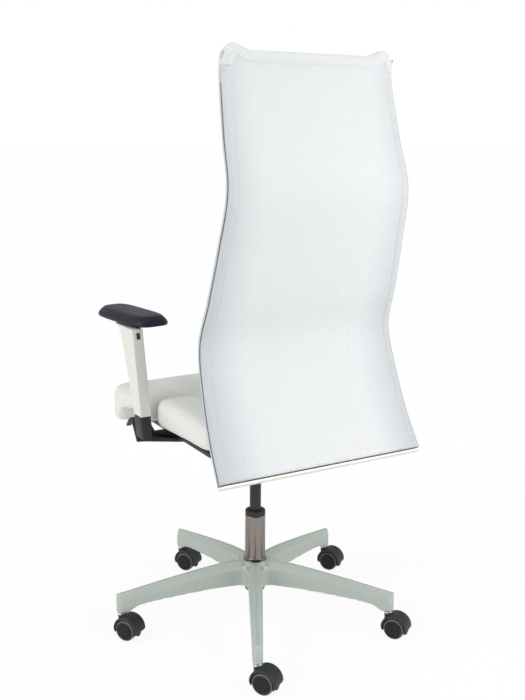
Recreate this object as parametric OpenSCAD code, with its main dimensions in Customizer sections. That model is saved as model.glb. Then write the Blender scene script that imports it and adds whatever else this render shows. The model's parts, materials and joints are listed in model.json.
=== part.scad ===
// High-backed swivel office chair: star base on twin-wheel casters, gas column,
// synchronous tilt mechanism, padded seat, height-adjustable arms and a mesh back.
// Origin on the floor under the column, +Z up. The sitter faces -Y and +X is the sitter's left.

/* [Casters] */
// Diameter of each caster wheel
wheel_d = 50; // [40:1:65]
// Width of one wheel
wheel_w = 18; // [12:1:24]
// Thickness of the middle web of the caster hood
hood_web = 8; // [6:1:12]
// Thickness of the hood's rim over the wheels
hood_wall = 6; // [3:0.5:8]
// Gap between a wheel and its hood
wheel_gap = 2; // [1:0.5:4]
// Distance from the stem to the wheel axle
caster_trail = 21; // [15:1:26]
// Diameter of the caster stem
stem_d = 11; // [8:1:12]
// Length of the stem inside its socket
stem_len = 38; // [25:1:42]
// Height of the collar between hood and socket
stem_collar_h = 4; // [2:1:8]
// Way the casters trail at rest, from +X
caster_heading = 122.6; // [0:0.1:360]

/* [Star base] */
// Distance from the column to each caster stem
base_reach = 337; // [260:1:400]
// Direction of the first arm, from +X
base_turn = 61.2; // [0:0.1:72]
// Width of an arm at its tip
arm_tip_w = 24; // [20:1:32]
// Width of an arm beside the hub
arm_root_w = 37; // [30:1:46]
// Height of an arm's tip over the foot of its socket
tip_h = 48; // [44:1:60]
// Height of the hub's top over the foot of the sockets
hub_top_h = 90; // [75:1:110]
// Height of the hub's underside over the foot of the sockets
hub_foot_h = 28; // [20:1:40]
// Diameter of the hub
hub_d = 74; // [62:1:100]
// Wall of the hollow arms
arm_wall = 4; // [3:0.5:5]
// Width of the flat ridge along an arm
ridge_w = 11; // [6:1:14]

/* [Column] */
// Diameter of the chromed tube
tube_d = 50; // [42:1:56]
// Wall of the chromed tube
tube_wall = 2; // [1.5:0.5:3]
// Length of chromed tube that shows over the hub
tube_show = 116; // [80:1:180]
// Height of the plastic collar on top of the tube
collar_h = 17; // [10:1:24]
// Diameter of the sliding gas cylinder
lift_d = 28; // [24:1:32]
// Wall of the gas cylinder
lift_wall = 2.5; // [2:0.5:4]
// Diameter of the piston rod
rod_d = 10; // [8:1:12]
// Travel of the seat height
seat_travel = 110; // [60:1:130]
// Gap left between collar and mechanism at the lowest seat
low_gap = 35; // [20:1:60]
// Travel of the valve pin on top of the cylinder
valve_travel = 3; // [2:0.5:4]

/* [Mechanism] */
// Width of the mechanism housing
housing_w = 120; // [90:1:150]
// Height of the housing at its front
housing_h = 50; // [48:1:60]
// Wall of the housing
housing_wall = 4; // [3:0.5:6]
// Distance from the column to the front tilt pin
tilt_pin_y = 115; // [100:1:130]
// Distance from the column to the recline pin
recline_pin_y = 40; // [36:1:46]
// Diameter of the tilt pin
tilt_pin_d = 10; // [8:1:12]
// Diameter of the recline pin
recline_pin_d = 12; // [10:1:14]
// Greatest recline of the back, in degrees
recline_max = 20; // [10:1:22]
// Seat tilt for each degree of recline
synchro = 0.4; // [0.3:0.05:0.45]
// Diameter of the tension knob
knob_d = 52; // [40:1:60]
// Diameter of the lever rods
lever_d = 8; // [6:1:10]

/* [Seat] */
// Overall width of the seat
seat_w = 500; // [440:1:600]
// Distance from the column to the front of the seat
seat_front = 300; // [260:1:360]
// Distance from the column to the back edge of the seat
seat_rear = 200; // [190:1:206]
// Thickness of the seat cushion over its shell
cushion_h = 67; // [50:1:90]
// How far the front of the cushion hangs below the shell's top
waterfall = 27; // [15:1:30]
// Thickness of the seat shell
shell_t = 9; // [6:1:12]
// Thickness of the steel seat plate
plate_t = 5; // [4:1:6]

/* [Arms] */
// Distance from the seat's side out to the outer face of each arm
arm_gap = 40; // [34:1:80]
// Thickness of an arm's sleeve across the chair
sleeve_t = 26; // [24:1:32]
// Depth of the sleeve at its foot
sleeve_d = 44; // [40:1:60]
// Height of the sleeve
sleeve_h = 195; // [190:1:240]
// Forward lean of the arms, in degrees
arm_lean = 11.5; // [0:0.5:15]
// Toe-out of the arm pads, in degrees
pad_turn = 7; // [0:1:15]
// Travel of the arm height
arm_travel = 80; // [40:1:90]
// Length of an arm pad
pad_l = 222; // [180:1:270]
// Width of an arm pad
pad_w = 96; // [70:1:110]
// Thickness of an arm pad
pad_t = 24; // [16:1:30]
// Travel of an arm's release button
button_travel = 3; // [2:0.5:4]

/* [Back] */
// Width of the back at its foot
back_foot_w = 517; // [440:1:600]
// Width of the back at its top
back_top_w = 408; // [340:1:500]
// Height of the back
back_h = 871; // [700:1:1000]
// Height of the back's foot under the seat shell's top
back_drop = 18; // [10:1:22]
// Thickness over both layers of mesh
back_t = 28; // [26:1:36]
// Thickness of one layer of mesh
mesh_t = 3; // [2:0.5:3.5]
// Diameter of the frame tube inside the mesh
frame_d = 20; // [16:1:20]
// Depth of the dip in the top bar between its raised corners
top_dip = 12; // [0:1:16]
// Thickness of the rail that closes the foot of the back
rail_t = 5; // [4:1:8]
// Thickness of the flat bar that carries the back
bar_t = 12; // [10:1:14]
// Width of the flat bar that carries the back
bar_w = 70; // [50:1:90]

/* [Fits] */
// Radial clearance of a shaft that turns or slides
running = 0.05; // [0.02:0.01:0.1]
// Gap between pieces that are pressed or bolted together
seated = 0.02; // [0.01:0.01:0.05]
// Gap round soft pieces and loose fits
loose = 0.5; // [0.4:0.1:1]

/* [Hidden] */
$fn = 48;
tiny = 0.01;

// Heights, from the floor up
axle_z = wheel_d / 2;
hood_r = wheel_d / 2 + wheel_gap + hood_wall;
socket_z = axle_z + hood_r + stem_collar_h;
hub_foot_z = socket_z + hub_foot_h;
hub_top_z = socket_z + hub_top_h;
tube_top_z = hub_top_z + tube_show;
collar_top_z = tube_top_z + collar_h;
housing_z = collar_top_z + seat_travel + low_gap;
housing_top_z = housing_z + housing_h;
plate_z = housing_top_z + 5;
shell_z = plate_z + plate_t;
shell_top_z = shell_z + shell_t;
back_foot_z = shell_top_z - back_drop;

// Column
arms_n = 5;
tube_r = tube_d / 2;
tube_taper = 1.5;
tube_foot_z = hub_foot_z - 18;
tube_floor = 4;
bearing_h = 8;
lift_r = lift_d / 2;
lift_foot_z = tube_foot_z + tube_floor + bearing_h + 4 + seat_travel;
lift_plug = 10;
lift_top_z = housing_z + 20;
lift_taper = 0.8;
rod_r = rod_d / 2;
piston_z = lift_foot_z + lift_plug + 90;
piston_h = 12;
valve_r = 3;
valve_top_z = lift_top_z + 5;
bush_foot_z = lift_foot_z + 10;
bore_r = lift_r - lift_wall;

// Mechanism
ear_t = 5;
ear_gap = 1.5;
ear_x = housing_w / 2 + ear_gap;
tilt_pin_z = housing_top_z - 14;
recline_pin_z = housing_z + 15;
recline_ear_t = 6;
lug_x = ear_x + recline_ear_t + 7;
pin_end_x = lug_x + ear_t + 4;
tilt_pin_r = tilt_pin_d / 2;
recline_pin_r = recline_pin_d / 2;
link_y = (recline_pin_y + synchro * tilt_pin_y) / (1 - synchro);
link_z = housing_z + 26;
link_pin_r = 5;
seat_drop_slope = tan(synchro * recline_max) + 0.02;
housing_front = tilt_pin_y + 15;
housing_rear = 112;
lever_y = -35;
lever_z = valve_top_z + lever_d / 2 + 0.4;
plate_front = tilt_pin_y + 13;
plate_rear = link_y + 16;
plate_half = 92;
knob_y = -85;
knob_h = 24;
knob_gap = 2;

// Seat
shell_half = seat_w / 2 - 50;
shell_front = seat_front - 46;
shell_rear = seat_rear - 16;
notch_w = sleeve_d + 2;
notch_in = 28;
rear_taper = 26;
side_cut = 12;

// Arms
block_top_z = shell_top_z + 52;
block_foot_z = block_top_z - 50;
sleeve_z = block_top_z + loose;
sleeve_top_z = sleeve_z + sleeve_h;
sleeve_rear_y = -19;
sleeve_mid_y = sleeve_rear_y - sleeve_d / 2;
notch_rear = sleeve_mid_y + 4;
arm_out = seat_w / 2 + arm_gap;
sleeve_x = arm_out - sleeve_t / 2;
post_t = sleeve_t - 8;
post_d = sleeve_d - 9;
post_hold = 86;
post_up = arm_travel + post_hold;
post_gap = 0.3;
arm_bar_t = 8;
arm_bar_w = 40;
arm_bar_in = plate_half + 18;
arm_bend_x = shell_half + arm_bar_t / 2;
pad_plate_t = 4;
pad_z = sleeve_top_z + pad_plate_t;
pad_mid_x = arm_out + 5 - pad_w / 2;
pad_rear_y = -49;
button_w = 8;
button_h = 14;
button_up = 180;
button_in = 9;
button_proud = 2;

// Back: each pair is a share of the back's height and a distance behind the foot of the back
back_y = 295;
back_line = [[0, 0], [0.09, -46], [0.19, -84], [0.31, -113], [0.42, -85], [0.55, -55],
             [0.68, -33], [0.8, -62], [0.94, -88], [1, -82]];
back_r = back_t / 2;
frame_r = frame_d / 2;
seam_angle = -15;
crossbar_lo = 40;
crossbar_hi = 112;
crossbar_t = 3;
spacer_w = 110;
window_gap = 2;
rows = 26;
frame_sides = 12;

// Fasteners
bolt_r = 3;
bolt_head_r = 6;
bolt_head_h = 4;

// Smooth curve through pairs of [place, value]
function span(pts, t, i = 0) = (i >= len(pts) - 2 || t < pts[i + 1][0]) ? i : span(pts, t, i + 1);
function slope(pts, i) =
    let (a = max(i - 1, 0), b = min(i + 1, len(pts) - 1))
    (pts[b][1] - pts[a][1]) / (pts[b][0] - pts[a][0]);
function smooth(pts, t) =
    let (i = span(pts, t), h = pts[i + 1][0] - pts[i][0], u = (t - pts[i][0]) / h)
    (2 * u ^ 3 - 3 * u ^ 2 + 1) * pts[i][1] + (u ^ 3 - 2 * u ^ 2 + u) * h * slope(pts, i)
    + (3 * u ^ 2 - 2 * u ^ 3) * pts[i + 1][1] + (u ^ 3 - u ^ 2) * h * slope(pts, i + 1);
function unit(v) = v / norm(v);

// Closed skin over rings that all have the same number of points
function band(i, k, m) =
    [for (j = [0 : m - 1]) each [[i * m + j, k * m + (j + 1) % m, i * m + (j + 1) % m],
                                 [i * m + j, k * m + j, k * m + (j + 1) % m]]];
module skin(rings) {
    m = len(rings[0]);
    n = len(rings);
    polyhedron(
        points = [for (r = rings, p = r) p],
        faces = concat([[for (j = [0 : m - 1]) j]],
                       [for (i = [0 : n - 2]) each band(i, i + 1, m)],
                       [[for (j = [m - 1 : -1 : 0]) (n - 1) * m + j]]),
        convexity = 8);
}
module skin_loop(rings) {
    m = len(rings[0]);
    n = len(rings);
    polyhedron(
        points = [for (r = rings, p = r) p],
        faces = [for (i = [0 : n - 1]) each band(i, (i + 1) % n, m)],
        convexity = 8);
}

// Round rings of radius r along a path that never runs along Y
function ring_at(p, dir, r, sides) =
    let (t = unit(dir), a = unit(cross(t, [0, 1, 0])), b = cross(t, a))
    [for (j = [0 : sides - 1]) p + r * (cos(360 * j / sides) * a + sin(360 * j / sides) * b)];
function loop_rings(path, r, sides) =
    [for (i = [0 : len(path) - 1])
        ring_at(path[i], path[(i + 1) % len(path)] - path[(i + len(path) - 1) % len(path)], r, sides)];
function path_rings(path, r, sides) =
    [for (i = [0 : len(path) - 1])
        ring_at(path[i], path[min(i + 1, len(path) - 1)] - path[max(i - 1, 0)], r, sides)];

// Rounded rectangle centred on the origin, as points and as a shape
function round_rect(w, d, r, steps = 4) =
    [for (q = [0 : 3], s = [0 : steps])
        let (a = 90 * q + 90 * s / steps,
             cx = (q == 0 || q == 3) ? w / 2 - r : r - w / 2,
             cy = (q < 2) ? d / 2 - r : r - d / 2)
        [cx + r * cos(a), cy + r * sin(a)]];
module plate_shape(w, d, r) polygon(round_rect(w, d, r, 8));

// Strip of even thickness along a line of [y, z] points
function strip(line, t) = concat(
    [for (i = [0 : len(line) - 1]) line[i] + t / 2 * side_of(line, i)],
    [for (i = [len(line) - 1 : -1 : 0]) line[i] - t / 2 * side_of(line, i)]);
function side_of(line, i) =
    let (d = unit(line[min(i + 1, len(line) - 1)] - line[max(i - 1, 0)])) [-d[1], d[0]];

// Extrudes a [y, z] shape across the chair, centred on x
module across(w, x = 0) translate([x - w / 2, 0, 0]) rotate([90, 0, 90]) linear_extrude(w) children();
module pin_across(r, w, y, z) translate([-w / 2, y, z]) rotate([0, 90, 0]) cylinder(r = r, h = w);
module at_arms() for (k = [0 : arms_n - 1]) rotate([0, 0, base_turn + 72 * k]) children();
module mirrored(side) scale([side, 1, 1]) children();

// ---------------------------------------------------------------- star base
arm_top_line = [[0, hub_top_z - 1], [0.25, hub_top_z - 3], [0.6, hub_top_z - 19],
                [1, socket_z + tip_h]];
arm_foot_line = [[0, hub_foot_z + 1], [0.35, hub_foot_z + 1], [0.7, hub_foot_z - 6],
                 [0.9, hub_foot_z - 17], [1, socket_z + 2]];
function arm_half(t) = (arm_root_w + (arm_tip_w - arm_root_w) * t) / 2;
function arm_ring(t, wall) =
    let (r = base_reach * t, h = arm_half(t) - wall, top = smooth(arm_top_line, t) - wall,
         foot = smooth(arm_foot_line, t) - (wall > 0 ? 30 : 0), e = max(ridge_w / 2 - wall / 2, 2),
         knee = top - 9)
    [[r, -h, foot], [r, h, foot], [r, h, knee - 8], [r, h - 1.5, knee], [r, e, top], [r, -e, top],
     [r, 1.5 - h, knee], [r, -h, knee - 8]];
module arm_body(from, to, wall) skin([for (i = [0 : 11]) arm_ring(from + (to - from) * i / 11, wall)]);
module star_base() {
    color([0.74, 0.78, 0.74]) difference() {
        union() {
            translate([0, 0, hub_foot_z]) cylinder(d = hub_d, h = hub_top_h - hub_foot_h);
            at_arms() arm_body(0.03, 1, 0);
            at_arms() translate([base_reach, 0, socket_z]) cylinder(d = arm_tip_w, h = tip_h);
        }
        at_arms() arm_body(0.14, 0.92, arm_wall);
        at_arms() translate([base_reach, 0, socket_z - 1])
            cylinder(r = stem_d / 2 + running, h = stem_len + 2);
        translate([0, 0, hub_foot_z - tiny])
            cylinder(r1 = tube_r - tube_taper + seated, r2 = tube_r + seated,
                     h = hub_top_h - hub_foot_h + 2 * tiny);
    }
}

// ---------------------------------------------------------------- column
module column_tube() {
    color([0.85, 0.85, 0.87]) difference() {
        union() {
            translate([0, 0, tube_foot_z])
                cylinder(r = tube_r - tube_taper - seated, h = hub_foot_z - tube_foot_z + tiny);
            translate([0, 0, hub_foot_z])
                cylinder(r1 = tube_r - tube_taper, r2 = tube_r, h = hub_top_z - hub_foot_z);
            translate([0, 0, hub_top_z]) cylinder(r = tube_r, h = tube_show);
            translate([0, 0, hub_top_z + tiny]) cylinder(r1 = tube_r + 3, r2 = tube_r, h = 4);
        }
        translate([0, 0, tube_foot_z + tube_floor])
            cylinder(r = tube_r - tube_wall - tube_taper, h = hub_top_z - tube_foot_z - tube_floor);
        translate([0, 0, hub_top_z - tiny]) cylinder(r = tube_r - tube_wall, h = tube_show + 1);
        translate([0, 0, tube_foot_z - 1]) cylinder(r = rod_r + running, h = tube_floor + 2);
    }
}
module guide_bush() {
    color([0.1, 0.1, 0.11]) difference() {
        union() {
            translate([0, 0, bush_foot_z])
                cylinder(r = tube_r - tube_wall - seated, h = tube_top_z - bush_foot_z + tiny);
            translate([0, 0, tube_top_z]) cylinder(r = tube_r - 1, h = collar_h - 3);
            translate([0, 0, collar_top_z - 3]) cylinder(r1 = tube_r - 1, r2 = tube_r - 4, h = 3);
        }
        translate([0, 0, bush_foot_z - 1])
            cylinder(r = lift_r + running, h = collar_top_z - bush_foot_z + 2);
    }
}
module thrust_bearing() {
    color([0.7, 0.7, 0.72]) translate([0, 0, tube_foot_z + tube_floor + seated]) difference() {
        cylinder(r = tube_r - tube_wall - tube_taper - 4, h = bearing_h);
        translate([0, 0, -1]) cylinder(r = rod_r + running, h = bearing_h + 2);
    }
}
module piston_rod() {
    color([0.8, 0.8, 0.82]) {
        translate([0, 0, tube_foot_z - 3]) cylinder(r = rod_r, h = piston_z - tube_foot_z + 3 + tiny);
        translate([0, 0, piston_z]) cylinder(r = bore_r - running, h = piston_h);
    }
}
module rod_clip() {
    color([0.6, 0.6, 0.62]) translate([0, 0, tube_foot_z - 2.2]) difference() {
        cylinder(r = rod_r + 4, h = 2);
        translate([0, 0, -1]) cylinder(r = rod_r + seated, h = 4);
    }
}
module gas_cylinder() {
    color([0.08, 0.08, 0.09]) difference() {
        union() {
            translate([0, 0, lift_foot_z]) cylinder(r = lift_r, h = housing_z - lift_foot_z);
            translate([0, 0, housing_z])
                cylinder(r1 = lift_r, r2 = lift_r - lift_taper, h = lift_top_z - housing_z);
        }
        translate([0, 0, lift_foot_z + lift_plug])
            cylinder(r = bore_r, h = lift_top_z - lift_foot_z - 2 * lift_plug);
        translate([0, 0, lift_foot_z - 1]) cylinder(r = rod_r + running, h = lift_plug + 2);
        translate([0, 0, lift_top_z - lift_plug - 1]) cylinder(r = valve_r + running, h = lift_plug + 2);
    }
}
module valve_pin() {
    color([0.8, 0.8, 0.5]) translate([0, 0, lift_top_z - lift_plug + valve_travel])
        cylinder(r = valve_r, h = valve_top_z - lift_top_z + lift_plug - valve_travel);
}

// ---------------------------------------------------------------- mechanism
// Highest the housing may be at y, so that the tilting seat plate stays clear of it
function housing_roof(y) = plate_z - 5 - max(0, y + tilt_pin_y) * seat_drop_slope;
housing_side = concat(
    [[-housing_front, housing_z], [-housing_front, housing_z + 34],
     [-housing_front + 12, housing_roof(-tilt_pin_y)]],
    [[-tilt_pin_y + 12, housing_roof(-tilt_pin_y + 12)], [housing_rear - 6, housing_roof(housing_rear)],
     [housing_rear, housing_z + 10], [housing_rear, housing_z]]);
module mech_housing() {
    inner_w = housing_w - 2 * housing_wall;
    color([0.12, 0.12, 0.13]) difference() {
        across(housing_w) polygon(housing_side);
        difference() {
            across(inner_w) translate([0, housing_wall]) polygon([
                [-housing_front + housing_wall, housing_z],
                [-housing_front + housing_wall, housing_top_z + 9],
                [housing_rear - housing_wall, housing_top_z + 9], [housing_rear - housing_wall, housing_z]]);
            translate([0, 0, housing_z]) cylinder(r = lift_r + 8, h = lift_top_z - housing_z - 2);
        }
        translate([0, 0, housing_z - tiny])
            cylinder(r1 = lift_r + seated, r2 = lift_r - lift_taper + seated,
                     h = lift_top_z - housing_z + tiny);
        pin_across(tilt_pin_r + seated, housing_w + 2, -tilt_pin_y, tilt_pin_z);
        pin_across(recline_pin_r + seated, housing_w + 2, recline_pin_y, recline_pin_z);
        pin_across(lever_d / 2 + running, housing_w + 2, lever_y, lever_z);
        translate([0, knob_y, housing_z - 1]) cylinder(r = lever_d / 2 + running, h = housing_wall + 2);
    }
}
module tilt_pin() color([0.7, 0.7, 0.72]) pin_across(tilt_pin_r, 2 * pin_end_x - 18, -tilt_pin_y, tilt_pin_z);
module recline_pin()
    color([0.7, 0.7, 0.72]) pin_across(recline_pin_r, 2 * pin_end_x - 18, recline_pin_y, recline_pin_z);
module tilt_spring() {
    wire = 3;
    coil_r = recline_pin_r + wire / 2 + 0.8;
    turns = 7;
    steps = 14;
    reach = housing_w / 2 - housing_wall - wire - 2;
    function coil_point(i) =
        let (a = 360 * i / steps)
        [-reach + 2 * reach * i / (turns * steps), recline_pin_y + coil_r * cos(a),
         recline_pin_z + coil_r * sin(a)];
    function coil_ring(i) =
        let (a = 360 * i / steps, p = coil_point(i), out = [0, cos(a), sin(a)],
             t = unit(coil_point(i + 1) - coil_point(i - 1)), b = cross(t, out))
        [for (j = [0 : 7]) p + wire / 2 * (cos(45 * j) * out + sin(45 * j) * b)];
    color([0.5, 0.5, 0.52]) skin([for (i = [0 : turns * steps]) coil_ring(i)]);
}
module tension_knob() {
    color([0.09, 0.09, 0.1]) translate([0, knob_y, housing_z - knob_gap - knob_h]) {
        difference() {
            cylinder(d = knob_d, h = knob_h);
            for (k = [0 : 7]) rotate([0, 0, 45 * k]) translate([knob_d / 2 + 5, 0, -1])
                cylinder(r = 8, h = knob_h + 2);
        }
        cylinder(r = lever_d / 2, h = knob_h + knob_gap + housing_wall + 10);
    }
}
// Flat arm of a lever, along a line of [x, y] points
module lever_arm(line) translate([0, 0, lever_z - lever_d / 2]) linear_extrude(lever_d)
    polygon(strip(line, lever_d));
lever_reach = seat_w / 2 - 15;
shaft_x = housing_w / 2 + 16;
module height_lever() {
    color([0.08, 0.08, 0.09]) {
        translate([-shaft_x, lever_y, lever_z]) rotate([0, 90, 0])
            cylinder(d = lever_d, h = shaft_x - 12);
        translate([-14, lever_y, lever_z - lever_d / 2]) cube([20, -lever_y + 4, 4]);
        lever_arm([[-shaft_x + 6, lever_y + 8], [-shaft_x, lever_y - 2], [-lever_reach, -182],
                   [-lever_reach - 16, -196]]);
        translate([-lever_reach - 20, -199, lever_z - lever_d / 2]) rotate([0, 0, 40])
            linear_extrude(lever_d) plate_shape(44, 16, 7);
    }
}
module tilt_lever() {
    hook_x = lever_reach + 15;
    hook_y = -126;
    color([0.08, 0.08, 0.09]) {
        translate([20, lever_y, lever_z]) rotate([0, 90, 0]) cylinder(d = lever_d, h = shaft_x - 20);
        translate([22, lever_y - 10, lever_z - lever_d / 2]) cube([12, 14, 4]);
        lever_arm([[shaft_x - 6, lever_y + 8], [shaft_x, lever_y - 2], [hook_x - 12, hook_y - 6],
                   [hook_x + 1, hook_y - 8]]);
        across(12, hook_x) polygon(strip([
            [hook_y, lever_z - 1], [hook_y - 14, lever_z + 20], [hook_y - 30, lever_z + 43],
            [hook_y - 38, lever_z + 47], [hook_y - 46, lever_z + 43], [hook_y - 64, lever_z + 23]], 5));
    }
}

// ---------------------------------------------------------------- seat
module bored_ear(x, y, z, r, bore, top) {
    difference() {
        union() {
            across(ear_t, x + ear_t / 2) translate([y, z]) circle(r = r);
            translate([x, y - r, z]) cube([ear_t, 2 * r, top - z]);
        }
        pin_across(bore, 4 * x, y, z);
    }
}
module seat_plate() {
    color([0.15, 0.15, 0.16]) {
        difference() {
            translate([-plate_half, -plate_front, plate_z])
                cube([2 * plate_half, plate_front + plate_rear, plate_t]);
            seat_bolt_places() cylinder(r = bolt_r + 0.3, h = 40, center = true);
        }
        for (side = [-1, 1]) mirrored(side) {
            bored_ear(ear_x, -tilt_pin_y, tilt_pin_z, 12, tilt_pin_r + running, plate_z + tiny);
            difference() {
                translate([lug_x, link_y - 15, link_z - 13]) cube([ear_t, 30, plate_z - link_z + 13 + tiny]);
                across(20, lug_x + 5) translate([link_y - 9, link_z - 7]) square([18, 15]);
            }
        }
    }
}
module seat_bolt_places() for (x = [-1, 1], y = [-plate_front + 45, plate_rear - 45])
    translate([x * (plate_half - 8), y, plate_z]) children();
module bolt_up(length) {
    translate([0, 0, -bolt_head_h]) cylinder(r = bolt_head_r, h = bolt_head_h, $fn = 6);
    cylinder(r = bolt_r, h = length);
}
module seat_shell() {
    color([0.1, 0.1, 0.11]) difference() {
        translate([0, (shell_rear - shell_front) / 2, shell_z])
            linear_extrude(shell_t) plate_shape(2 * shell_half, shell_front + shell_rear, 45);
        seat_bolt_places() cylinder(r = bolt_r + seated, h = plate_t + shell_t - 2);
        for (side = [-1, 1]) arm_bolt_places(side) cylinder(r = bolt_r + seated, h = arm_bar_t + shell_t - 2);
    }
}
module seat_bolts() color([0.7, 0.7, 0.72]) seat_bolt_places() translate([0, 0, -seated])
    bolt_up(plate_t + shell_t - 3);
module cushion_slab(w, profile, lift) intersection() {
    across(w) polygon(concat([[seat_rear - 16, shell_top_z + tiny]], profile));
    translate([-seat_w, -2 * seat_front, lift > 0 ? shell_top_z + lift : 0])
        cube([2 * seat_w, 4 * seat_front, 4 * shell_top_z]);
}
module seat_cushion() {
    z = shell_top_z + tiny;
    crown = z + cushion_h;
    profile = [
        [seat_rear - 10, z + 4], [seat_rear, z + 18], [seat_rear - 3, crown - 26],
        [seat_rear - 22, crown - 8], [seat_rear - 90, crown - 3], [0, crown],
        [-seat_front + 90, crown], [-seat_front + 38, crown - 6],
        [-seat_front + 10, crown - 26], [-seat_front, crown - 48], [-seat_front + 4, z - waterfall + 14],
        [-seat_front + 14, z - waterfall], [-shell_front - 8, z - waterfall + 4], [-shell_front - 4, z - 4],
        [-shell_front - 3, z]];
    color([0.93, 0.93, 0.92]) intersection() {
        difference() {
            union() {
                cushion_slab(2 * shell_half + 6, profile, 0);
                cushion_slab(seat_w, profile, side_cut);
            }
            for (side = [-1, 1]) mirrored(side) {
                translate([seat_w / 2 - notch_in, notch_rear - notch_w, z - tiny])
                    cube([seat_w, notch_w, 2 * cushion_h]);
                translate([0, 0, z - tiny]) linear_extrude(2 * cushion_h) polygon([
                    [seat_w / 2, notch_rear - tiny], [seat_w, notch_rear - tiny],
                    [seat_w, 2 * seat_rear], [seat_w / 2 - 2 * rear_taper, 2 * seat_rear + notch_w]]);
            }
        }
        translate([0, (seat_rear - seat_front) / 2, z - 2 * waterfall])
            linear_extrude(4 * cushion_h) plate_shape(seat_w, seat_rear + seat_front, 62);
    }
}

// ---------------------------------------------------------------- arms
// Turns a shape built upright round the foot of the sleeve to the lean of the arm
module leaned() translate([sleeve_x, sleeve_mid_y, sleeve_z]) rotate([arm_lean, 0, 0]) children();
arm_front_line = [[0, -sleeve_rear_y + sleeve_d], [0.35, 88], [0.7, 115], [0.9, 133], [0.97, 146], [1, 163]];
function sleeve_rear(t) = sleeve_rear_y - tan(arm_lean) * sleeve_h * t;
function sleeve_ring(t) =
    let (front = -smooth(arm_front_line, t), rear = sleeve_rear(t), mid = (front + rear) / 2)
    [for (p = round_rect(sleeve_t, rear - front, 8, 4))
        [sleeve_x + p[0], mid + p[1], sleeve_z + sleeve_h * t]];
module arm_bracket(side) {
    outer = sleeve_x + sleeve_t / 2;
    bar_z = shell_z - arm_bar_t / 2 - seated;
    inner = outer - sleeve_t + 4;
    under = shell_top_z + side_cut - loose;
    line = [[arm_bar_in, bar_z], [arm_bend_x, bar_z], [outer - 20, block_foot_z + 1],
            [outer - 4, block_foot_z + 4]];
    color([0.09, 0.09, 0.1]) mirrored(side) difference() {
        union() {
            translate([0, sleeve_mid_y + 8, 0]) rotate([90, 0, 0]) linear_extrude(arm_bar_w, center = true)
                polygon(strip(line, arm_bar_t));
            translate([0, sleeve_mid_y + 8, 0]) rotate([90, 0, 0]) linear_extrude(arm_bar_t, center = true)
                polygon([[inner, block_top_z - 8], [inner, block_foot_z], [shell_half + 8, bar_z + 3],
                         [shell_half + 8, under], [seat_w / 2 + 1, under]]);
            intersection() {
                leaned() translate([0, 0, -80]) linear_extrude(80 - loose)
                    plate_shape(sleeve_t, sleeve_d * cos(arm_lean), 6);
                translate([0, -200, block_foot_z]) cube([400, 400, block_top_z - block_foot_z]);
            }
            leaned() translate([-post_t / 2, -post_d / 2, -10]) cube([post_t, post_d, post_up + 10]);
        }
        arm_bolt_places(1) cylinder(r = bolt_r + 0.3, h = 60, center = true);
    }
}
module arm_bolt_places(side) for (x = [0, 42]) mirrored(side)
    translate([arm_bar_in + 14 + x, sleeve_mid_y + 8, shell_z - arm_bar_t - seated]) children();
module arm_bolts() color([0.7, 0.7, 0.72]) for (side = [-1, 1])
    arm_bolt_places(side) translate([0, 0, -seated]) bolt_up(arm_bar_t + shell_t - 3);
module arm_sleeve(side) {
    color([0.93, 0.93, 0.88]) mirrored(side) difference() {
        skin([for (t = [0, 0.1, 0.2, 0.35, 0.5, 0.6, 0.7, 0.8, 0.86, 0.92, 0.96, 1]) sleeve_ring(t)]);
        leaned() translate([-post_t / 2 - post_gap, -post_d / 2 - post_gap, -10])
            cube([post_t + 2 * post_gap, post_d + 2 * post_gap, post_up + 14]);
        leaned() translate([-button_w / 2 - post_gap, sleeve_d / 2 - button_in - button_travel - 2,
                            button_up - button_h / 2 - post_gap])
            cube([button_w + 2 * post_gap, 40, button_h + 2 * post_gap]);
    }
}
module arm_button(side) {
    color([0.05, 0.05, 0.06]) mirrored(side) leaned()
        translate([0, sleeve_d / 2 + button_proud - 0.6, button_up]) rotate([90, 0, 0])
        linear_extrude(button_in) plate_shape(button_w, button_h, 3);
}
module arm_pad_plate(side) {
    color([0.09, 0.09, 0.1]) mirrored(side)
        translate([pad_mid_x + 6, pad_rear_y - pad_l / 2, sleeve_top_z + seated]) rotate(pad_turn)
        linear_extrude(pad_plate_t - 2 * seated) plate_shape(pad_w - 34, pad_l - 50, 24);
}
module arm_pad(side) {
    color([0.15, 0.15, 0.18]) mirrored(side)
        translate([pad_mid_x, pad_rear_y - pad_l / 2, pad_z]) rotate(pad_turn) {
        linear_extrude(pad_t * 0.55) plate_shape(pad_w, pad_l, 40);
        translate([0, 0, pad_t * 0.5]) linear_extrude(pad_t * 0.5) plate_shape(pad_w - 12, pad_l - 12, 36);
    }
}

// ---------------------------------------------------------------- back
// Places on the back's middle surface: s runs from 0 at the foot to 1 at the top
function back_mid(s) = back_y + smooth(back_line, s);
function back_z(s) = back_foot_z + back_h * s;
function back_half(s) =
    smooth([[0, back_foot_w], [0.25, back_foot_w * 0.76 + back_top_w * 0.24 + 3],
            [0.66, back_foot_w * 0.33 + back_top_w * 0.67], [1, back_top_w]], s) / 2;
function back_lean(s) = atan2(back_mid(s + 0.01) - back_mid(s - 0.01), back_h * 0.02);
// Point beside the middle surface: x across, n out of the rear face
function back_point(s, x, n) =
    [x, back_mid(s) + n * cos(back_lean(s)), back_z(s) - n * sin(back_lean(s))];

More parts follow.
